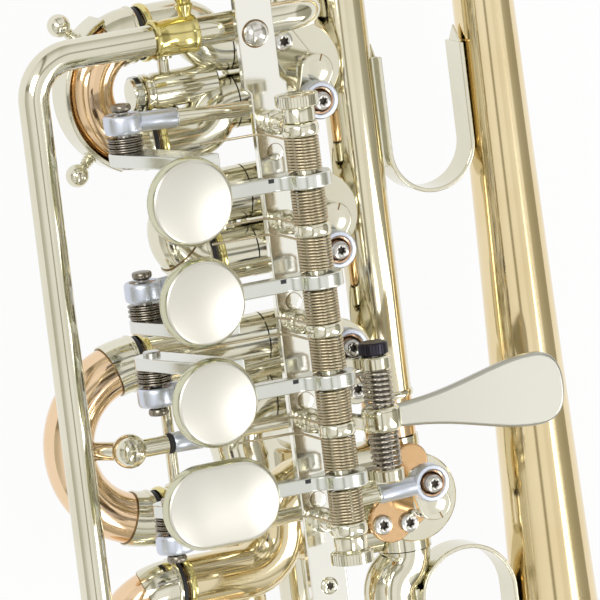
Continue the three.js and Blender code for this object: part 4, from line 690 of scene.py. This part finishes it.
for i in range(4):
    off, out = OFFSETS[i], X * SIDES[i]
    at = SHAFT + X * LEVER_X[i]
    bolt = at + Vector((off, -ARM_REACH, -ARM_DROP))
    parts = [
        plate("bar", bar, 3.5, -Y, Z, at + X * 1.75, flat_metal, 0.45),
        plate("lower_arm", lower_arm, 3.2, -Y, Z, at + X * (off + 1.6), flat_metal, 0.45),
        plate("foot", foot, abs(off), -Y, Z, at + X * max(off, 0), flat_metal),
        rod("bolt", bolt, bolt + out * 11.2, 1.6, steel),
        rod("bolt_tail", bolt - out * 2.6, bolt, 2.1, steel),
        turned("bolt_head", [(1.2, 10.5), (1.5, 10.5), (1.5, 11.0), (2.2, 11.3), (2.4, 11.8), (2.4, 12.4),
                             (2.15, 12.8), (1.2, 13.0), (0, 13.0), (0, 10.5)], out, bolt, pin_steel, 40),
        turned("ball", JOINT_BALL, X, bolt + out * BALL_OUT, steel, 40),
        # A thin black sheet on the lever's top: painted shade in its wire slot.
        slab("wire_slot", at.x - 1.5, at.x - 0.5, SHAFT_Y - 9.8, SHAFT_Y - 7.6, SHAFT_Z + 0.57,
             SHAFT_Z + 0.63, rubber_and_hole_shade, 0),
    ]
    for k in range(6):
        parts.append(band("washer", 4.35 if k % 2 else 4.0, 1.6, 0, 0.45, bolt + out * (1.72 + 0.58 * k), out,
                          pin_steel, 0.2))
    joined(f"lever_bar_{i + 1}", parts, f"lever_{i + 1}", f"lever_{i + 1}")

# Touchpieces. Four caps with a soft crown, pressed from sheet, silver plated and soldered on the
# levers; the player's fingertips have dulled their tops to a satin. The fourth is oblong.
# Silver plate is the whitest metal here; below the crown it is bright, and coloured darker and towards brass
# as painted shade and a painted reflection of the brass.
silver = buffed_metal("silver plate", "#e1dfd6", "#dad7cc", 0.32, marks=0.0, wear=0.05)
rim_shade_and_reflection = buffed_metal("silver plate rim, painted shade and brass reflection", "#d8d7bf", "#c4c4a8", 0.2)
CAP_SIDES = 88
layers = [(0.93, 0.0), (0.985, 0.25), (1.0, 0.7), (0.995, 1.3), (0.98, 1.9), (0.955, 2.5), (0.925, 3.0)]
layers += [(w, 3.25 + 0.83 * (1 - (w / 0.9) ** 2)) for w in (0.895, 0.86, 0.78, 0.65, 0.5, 0.33, 0.16, 0.05)]
for i in range(4):
    r, half, back = (10.2, 4.6, 32) if i == 3 else (10.7, 0, 30.5)
    points, faces = [], []
    for share, z in layers:
        for k in range(CAP_SIDES):
            a = 2 * pi * (k + 0.5) / CAP_SIDES
            stretch = copysign(half, sin(a)) * min(1, share * 5)
            points.append((LEVER_X[i] + share * r * cos(a),
                           SHAFT_Y - back + share * r * sin(a) + stretch, SHAFT_Z + 0.9 + z))
    last = (len(layers) - 1) * CAP_SIDES
    for n in range(0, last, CAP_SIDES):
        faces += [(n + k, n + (k + 1) % CAP_SIDES, n + CAP_SIDES + (k + 1) % CAP_SIDES, n + CAP_SIDES + k)
                  for k in range(CAP_SIDES)]
    faces += [tuple(reversed(range(CAP_SIDES))), tuple(range(last, last + CAP_SIDES))]
    pad = piece_from("pad", points, faces, silver, 60)
    pad.data.materials.append(rim_shade_and_reflection)
    # Faces that slope away from above take the rim's colour: painted shade and reflection.
    for face in pad.data.polygons:
        face.material_index = int(face.normal.z < 0.7)
    joined(f"finger_cap_{i + 1}", [pad], f"lever_{i + 1}", f"touchpiece_{i + 1}")

# Springs. One hard drawn wire is wound close on both sides of each lever, with a bridge below its
# eye and both ends resting across the rail; nodes draw the wire along its way.
# Drawn wire keeps fine lengthwise marks; its colour is darkened to a pale bronze as painted shade, where the
# close turns shade each other.
spring_wire_painted_shade = buffed_metal("spring wire with painted shade between turns", "#d4c9af", "#ad9f82", 0.24, grain=0.15, marks=0.05)
TURN_STEPS = 22


def wound(name, points, radius, stuff):
    """A round wire along points."""
    tree, entry = tree_with(name, Radius="Float", Sides="Int")
    way = add_node(tree, "GeometryNodeMeshToCurve", {"Mesh": entry["Geometry"]})
    section = add_node(tree, "GeometryNodeCurvePrimitiveCircle", {
        "Resolution": entry["Sides"], "Radius": entry["Radius"]})
    skin = add_node(tree, "GeometryNodeCurveToMesh", {
        "Curve": way.outputs[0], "Profile Curve": section.outputs[0], "Fill Caps": True})
    soft = add_node(tree, "GeometryNodeSetShadeSmooth", {"Geometry": skin.outputs[0]})
    data = bpy.data.meshes.new(name)
    data.from_pydata([Vector(p) * MM for p in points], [(k, k + 1) for k in range(len(points) - 1)], [])
    return carried_out(name, data, tree, soft, stuff, Radius=radius * MM, Sides=8)


def double_coil(lead_in, begin, end, radius, turns, bridge):
    """A double spring's way round the origin: its end, a coil, half the bridge, and that mirrored."""
    count = round(turns * TURN_STEPS)
    half = list(lead_in)
    for k in range(count + 1):
        a = pi - 2 * pi * k / TURN_STEPS
        half.append((begin + (end - begin) * k / count, radius * cos(a), radius * sin(a)))
    half += bridge
    return [Vector(p) for p in half] + [Vector((-x, y, z)) for x, y, z in reversed(half)]


leg = RAIL_Z + RAIL_HALF + 0.35 - SHAFT_Z
spring = double_coil([(-10.05, -19.4, leg), (-10.05, -5.5, leg + 0.9), (-10.05, -4.0, leg + 5.0)],
                     -10.05, -2.2, 3.86, 11, [(-2.2, 4.4, -4.9), (-1.8, 4.8, -6.6)])
for i in range(4):
    at = SHAFT + X * LEVER_X[i]
    joined(f"lever_coil_{i + 1}", [wound("coil", [at + p for p in spring], 0.31, spring_wire_painted_shade)], "horn",
           f"lever_spring_{i + 1}")

# Links. A nickel silver rod screws into two blued steel ends, each lined with a copper ring for its
# ball: one ball stays on the lever's bolt, the other is screwed to the stop arm with a stud.
# Bluing leaves pale steel with a cool cast, and copper a warm pink ring inside it.
blued = buffed_metal("blued steel", "#e0e4ee", "#bfc6d4", 0.34, grain=0.25, marks=0.04)
copper = buffed_metal("copper liner", "#f2cfb2", "#dfae86", 0.2)
HOUSING = mirrored([(3.2, -2.0), (3.5, -2.3), (4.2, -2.25), (4.5, -1.9), (4.6, -1.2)])
for i in range(4):
    a = Vector((LEVER_X[i] + OFFSETS[i] + SIDES[i] * BALL_OUT, SHAFT_Y - ARM_REACH, LINK_Z))
    b = link_ends[i]
    way = (b - a).normalized()
    parts = []
    for at, axis, inward in ((a, X * SIDES[i], way), (b, Z, -way)):
        parts += [
            turned("housing", HOUSING, axis, at, blued),
            turned("liner", mirrored([(2.85, -1.7), (3.25, -1.85)]), axis, at, copper, 48),
            turned("shank", [(0, 3.2), (2.2, 3.3), (2.3, 4.4), (2.35, 6), (2.35, 13.0), (2.1, 13.3),
                             (0, 13.3)], inward, at, blued, 40),
            band("shank_ring", 2.3, 1.2, 13.3, 13.7, at, inward, flat_metal, 0.12),
        ]
    parts += [
        turned("ball", JOINT_BALL, Z, b, steel, 40),
        screws("stud", [(b + Z * 2.3, Z)], 2.2, steel, 1.3),
        rod("stud_foot", b - Z * 3.2, b, 1.6, steel),
        rod("link_rod", a + way * 12.4, b - way * 12.4, 1.85, nickel),
    ]
    joined(f"ball_link_{i + 1}", parts, f"link_{i + 1}", f"link_{i + 1}")

# Thumb trigger. A leaf shaped silver plated paddle turns on an axle between the rail's ears; its
# arm pushes the third slide out through a rod with a ball, and a wound spring brings it back.
PADDLE = 47.5
leaf = []
for bows in (((-2.7, 0), (-2.7, 0.4), (-8.8, 0.6), (-8.8, 0.84)),
             ((-8.8, 0.84), (-8.8, 0.96), (-5.28, 1), (0, 1))):
    for t in (k / 14 for k in range(14)):
        shares = ((1 - t) ** 3, 3 * t * (1 - t) ** 2, 3 * t * t * (1 - t), t ** 3)
        leaf.append([sum(c * p[n] for c, p in zip(shares, bows)) * (1, PADDLE)[n] for n in (0, 1)])
leaf += [(0, PADDLE)] + [(-x, y) for x, y in reversed(leaf)]
a, b = pairs[2]
middle = (a.x + b.x) / 2
# The paddle's plate is coloured greyer than the touchpieces as painted shade on its flat face, and is softer.
paddle_painted_shade = buffed_metal("silver plate with painted shade", "#bfbeb5", "#b8b7ac", 0.3, marks=0.0, wear=0.05)
joined("thumb_paddle", [
    plate("paddle", leaf, 2.4, X, Y, THUMB - Z * 1.2, paddle_painted_shade, 0.85),
    turned("hub", mirrored([(1.9, -3), (3.9, -3), (4.5, -2.5), (4.7, -1.8)]), X, THUMB, nickel),
    plate("arm", [(-1.5, 0), (4.3, -31.5), (7.3, -31.5), (1.5, 0)], 3.2, -Y, Z,
          (middle + 1.6, THUMB.y, THUMB.z), nickel),
], "thumb", "thumb_lever")
# Blackened steel shows hardly a reflection; the thumb's wire is thicker and darker than the levers'.
blackened = buffed_metal("blackened steel", "#4f4b54", "#332f37", 0.34, grain=0.2, marks=0.05)
thumb_wire = buffed_metal("dark drawn wire", "#c9c3b8", "#989086", 0.22)
end = EAR + 1.6 + GAP
joined("thumb_pin", [
    rod("pin", THUMB - X * end, THUMB + X * end, 1.7, steel),
    turned("knob", [(0, 0), (3.0, 0), (3.3, 0.3), (3.3, 2.8), (3.0, 3.1), (0, 3.1)], -X, THUMB - X * end,
           blackened, 40),
    knurled("knob_teeth", THUMB - X * (end + 1.55), X, 3.5, 2.4, 30, blackened),
], "horn", "thumb_axle")
spring = double_coil([(-11.45, -12.5, -1.15)], -11.45, -3.55, 3.3, 6.5,
                     [(-3.55, 3.9, -3.6), (-3.2, 4.1, -5.0)])
joined("thumb_coil", [wound("coil", [THUMB + p for p in spring], 0.42, thumb_wire)], "horn",
       "thumb_spring")
BALL, BALL_R = Vector((middle, -54.5, 10)), 4.2
turns = (pi * (k / 28 - 0.5) for k in range(1, 28))
round_ball = [(BALL_R * cos(t), BALL_R * sin(t)) for t in turns]
bow_inside = a.y - RUBBER - (b.x - a.x) / 2 + BOW - 0.6
joined("trigger_push_rod", [
    turned("ball", [(0, -BALL_R)] + round_ball + [(0, BALL_R)], Y, BALL, nickel),
    turned("screw", [(0, 0), (2.3, 0), (2.3, 0.3), (2.0, 0.55), (0, 0.6)], Z, BALL + Z * 3.3, nickel, 40),
    turned("rod", [(0, 0), (2.2, 0), (2.2, 9.6), (1.9, 9.9), (1.8, 10), (1.8, 41), (2.5, 41.4), (2.5, 45.2),
                   (2.2, 45.6), (0, 45.6)], Y, BALL, nickel, 44),
    turned("cone", [(0, 11.1), (2.2, 11.1), (2.45, 11.4), (2.62, 18.4), (1.9, 19.4), (0, 19.4)], Y, BALL,
           blued, 44),
    band("ring", 2.5, 1.8, 9.9, 11.0, BALL, Y, rubber_and_hole_shade, 0.3),
    rod("stub", BALL, (middle, bow_inside, 1.2), 2.3, nickel),
], "slide_3", "trigger_rod")

# Hand rail. A nickel silver tube is bent round the player's right side as a rest for the hand;
# a yellow brass sleeve holds it to the rack's wing, a foot to the tube below.
HAND_X, HAND_Z, HAND_BEND = -71, 28, 10
hand = Run((HAND_X, 0, 7.0), Z, 3.65).straight(HAND_Z - HAND_BEND - 7)
hand.bend(-Y, HAND_BEND, pi / 2).straight(54.3).bend(X, HAND_BEND, pi / 2).straight(147)
hand.bend(Y, HAND_BEND, pi / 2).straight(49.9)
at = Vector((HAND_X, -37.5, HAND_Z))
joined("hand_rail_tube", [
    pipe("tube", hand, nickel, 48),
    turned("foot", [(0, 0.1), (5.2, 0.1), (5.4, 0.5), (5.0, 1.0), (4.0, 1.4), (3.7, 2.2), (0, 2.2)], Z,
           (HAND_X, 0, 6.9), nickel, 48),
    turned("end", [(0, -2.6), (3.7, -2.6), (4.1, -2.2), (4.1, 0), (3.4, 0.6), (0, 0.9)], Y,
           (HAND_END, SHAFT_Y + 4, HAND_Z), nickel, 48),
], "horn", "hand_rail")
joined("rail_sleeve", [
    turned("sleeve", mirrored([(3.8, -5.5), (4.4, -5.5), (4.7, -5.2), (4.7, -4.2), (4.45, -3.9)]), Y, at,
           yellow_brass, 64),
    turned("foot", [(0, 3.9), (1.5, 3.9), (1.6, 5.2), (2.1, 6.4), (2.2, 7.0), (1.7, 7.6), (2.2, 8.8),
                    (3.0, 9.8), (3.1, 10.7), (0, 10.7)], -X, at + Y * 3.6, yellow_brass, 40),
], "horn", "hand_rail_sleeve")

# Straps. Nickel silver strips bent to a U tie the bell to the tube beside it; the left hand's
# fingers reach through them.
THICK, WIDE = 1.1, 9
PAD = [(-8, 0), (-3, 3.2), (1, 4.2), (5, 3.2), (9, 0), (5, -3.2), (1, -4.2), (-3, -3.2)]
for name, x, direction, foot, tube_y, tube_r in (
        ("strap_rear", -30, 1, 23.5, LEAD_Y, 6.35), ("strap_front", 80.2, -1, 12, 11.5, TUBE)):
    inner = tube_y + tube_r + GAP
    end = x - direction * foot
    bend = (BELL_Y - bell_radius(max(x, end)) - GAP - inner) / 2
    outline = [(end, 0), *arc(x, bend, bend, -90, 180 * direction - 90, 44), (end, 2 * bend),
               (end, 2 * bend - THICK), *arc(x, bend, bend - THICK, 180 * direction - 90, -90, 44),
               (end, THICK)]
    parts = [plate(name, outline[::direction], WIDE, X, Y, (0, inner, -WIDE / 2), nickel, 0.3)]
    for s, y in ((1, inner + 0.6), (-1, inner + 2 * bend - 0.6)):
        parts.append(plate("foot", PAD, 0.5, X * s, Z, (end + direction * 5, y, 0), nickel, 0.2))
    bed = sorted((end, x + direction * bend * 0.3))
    parts.append(slab("bed", *bed, inner - 1.6, inner + 0.4, -2.8, 2.8, nickel, 0.3))
    joined(f"{name}_strip", parts, "horn", name)

# The studio. A pale floor under the instrument, a white surround with soft dark flags that give the
# polished metal its streaks, three soft boxes, and the camera above the player's right.
floor_stuff = bpy.data.materials.new("pale floor")
tree = bare_tree(floor_stuff)
paint = add_node(tree, "ShaderNodeBsdfDiffuse", {"Color": linear("#fafafa")})
glow = add_node(tree, "ShaderNodeEmission", {"Color": linear("#ffffff"), "Strength": 1.0})
ray = add_node(tree, "ShaderNodeLightPath")
seen = ray.outputs["Is Camera Ray"]
for kind in ("Is Glossy Ray", "Is Transmission Ray"):
    seen = add_node(tree, "ShaderNodeMath", {0: seen, 1: ray.outputs[kind]}, operation="MAXIMUM").outputs[0]
GLOW = 0.9  # of what the camera sees of the floor; the rest is lit, and keeps the object's shadow
share = add_node(tree, "ShaderNodeMath", {0: seen, 1: GLOW}, operation="MULTIPLY")
mixed = add_node(tree, "ShaderNodeMixShader", {0: share.outputs[0], 1: paint.outputs[0], 2: glow.outputs[0]})
add_node(tree, "ShaderNodeOutputMaterial", {"Surface": mixed.outputs[0]})
data = bpy.data.meshes.new("floor")
FLOOR = -0.068  # metres, a little below the bell's rim
data.from_pydata([(x, y, FLOOR) for x, y in ((-4, -4), (4, -4), (4, 4), (-4, 4))], [], [(0, 1, 2, 3)])
data.materials.append(floor_stuff)
placed("floor", data)

world = bpy.data.worlds.new("studio")
bpy.context.scene.world = world
tree = bare_tree(world)
sight = add_node(tree, "ShaderNodeTexCoord").outputs["Generated"]
way = add_node(tree, "ShaderNodeSeparateXYZ", {"Vector": sight})
flags = []
for axis, stops in (
        ("Y", ((0.0, 0.6), (0.12, 0.95), (0.22, 1.0), (0.29, 1.0), (0.315, 0.42), (0.35, 0.36), (0.375, 0.9),
               (0.40, 1.0), (0.52, 1.0), (0.56, 0.9), (0.80, 0.98), (0.84, 1.0), (0.88, 0.5), (1.0, 0.4))),
        ("X", ((0.0, 0.55), (0.1, 0.9), (0.2, 1.0), (0.28, 1.0), (0.32, 0.5), (0.36, 0.45), (0.40, 0.95),
               (0.46, 1.0), (0.70, 0.96), (0.76, 0.9), (0.80, 0.5), (0.84, 0.9), (0.94, 0.6), (1.0, 0.5)))):
    where = add_node(tree, "ShaderNodeMapRange", {"Value": way.outputs[axis], "From Min": -1.0,
                                                 "From Max": 1.0})
    ramp = add_node(tree, "ShaderNodeValToRGB", {"Fac": where.outputs[0]})
    ramp.color_ramp.interpolation = "EASE"
    elements = ramp.color_ramp.elements
    while len(elements) < len(stops):
        elements.new(0.5)
    for element, (place, level) in zip(elements, stops):
        element.position = place
        element.color = (level, level ** 1.03, level ** 1.25, 1)
    flags.append(ramp)
banded = add_node(tree, "ShaderNodeMix", {0: 1.0, 6: flags[0].outputs[0], 7: flags[1].outputs[0]},
                  data_type="RGBA", blend_type="MULTIPLY")
ray = add_node(tree, "ShaderNodeLightPath")
soft = add_node(tree, "ShaderNodeMix", {0: ray.outputs["Is Glossy Ray"], 6: linear("#d6d6d6"),
                                        7: banded.outputs[2]}, data_type="RGBA")
clear = add_node(tree, "ShaderNodeMath", {0: ray.outputs["Is Camera Ray"],
                                          1: ray.outputs["Is Transmission Ray"]}, operation="MAXIMUM")
whole = add_node(tree, "ShaderNodeMix", {0: clear.outputs[0], 6: soft.outputs[2], 7: linear("#ffffff")},
                 data_type="RGBA")
sky = add_node(tree, "ShaderNodeBackground", {"Color": whole.outputs[2], "Strength": 1.0})
add_node(tree, "ShaderNodeOutputWorld", {"Surface": sky.outputs[0]})

for name, at, size, power in (
        ("key_box", (-0.5, -0.9, 1.1), (0.5, 0.9), 7.0), ("fill_box", (0.5, 1.0, 0.9), (0.35, 1.1), 5.0),
        ("top_box", (0.9, -0.1, 1.2), (0.3, 0.8), 3.0)):
    light = bpy.data.lights.new(name, "AREA")
    light.shape, light.size, light.size_y, light.energy = "RECTANGLE", *size, power
    lamp = placed(name, light)
    lamp.location = at
    lamp.rotation_mode = "QUATERNION"
    lamp.rotation_quaternion = (-Vector(at)).to_track_quat("-Z", "Y")

DISTANCE, FRAME = 2.6, 0.14085  # metres: from the camera to its target, and across the picture there
target = Vector((-7.88, -23.67, 53)) * MM
towards = Vector((-0.167, -0.366, 0.914)).normalized()
right = Vector((0.120, 0.913, 0.387))
right = (right - towards * right.dot(towards)).normalized()
up = towards.cross(right)
view = bpy.data.cameras.new("camera")
view.sensor_width, view.lens = 36, 36 * DISTANCE / FRAME
view.clip_end = 20
camera = placed("camera", view)
turn = Matrix((right, up, towards)).transposed().to_4x4()
camera.matrix_world = Matrix.Translation(target + towards * DISTANCE) @ turn
bpy.context.scene.camera = camera
bpy.context.scene.view_settings.view_transform = "Standard"
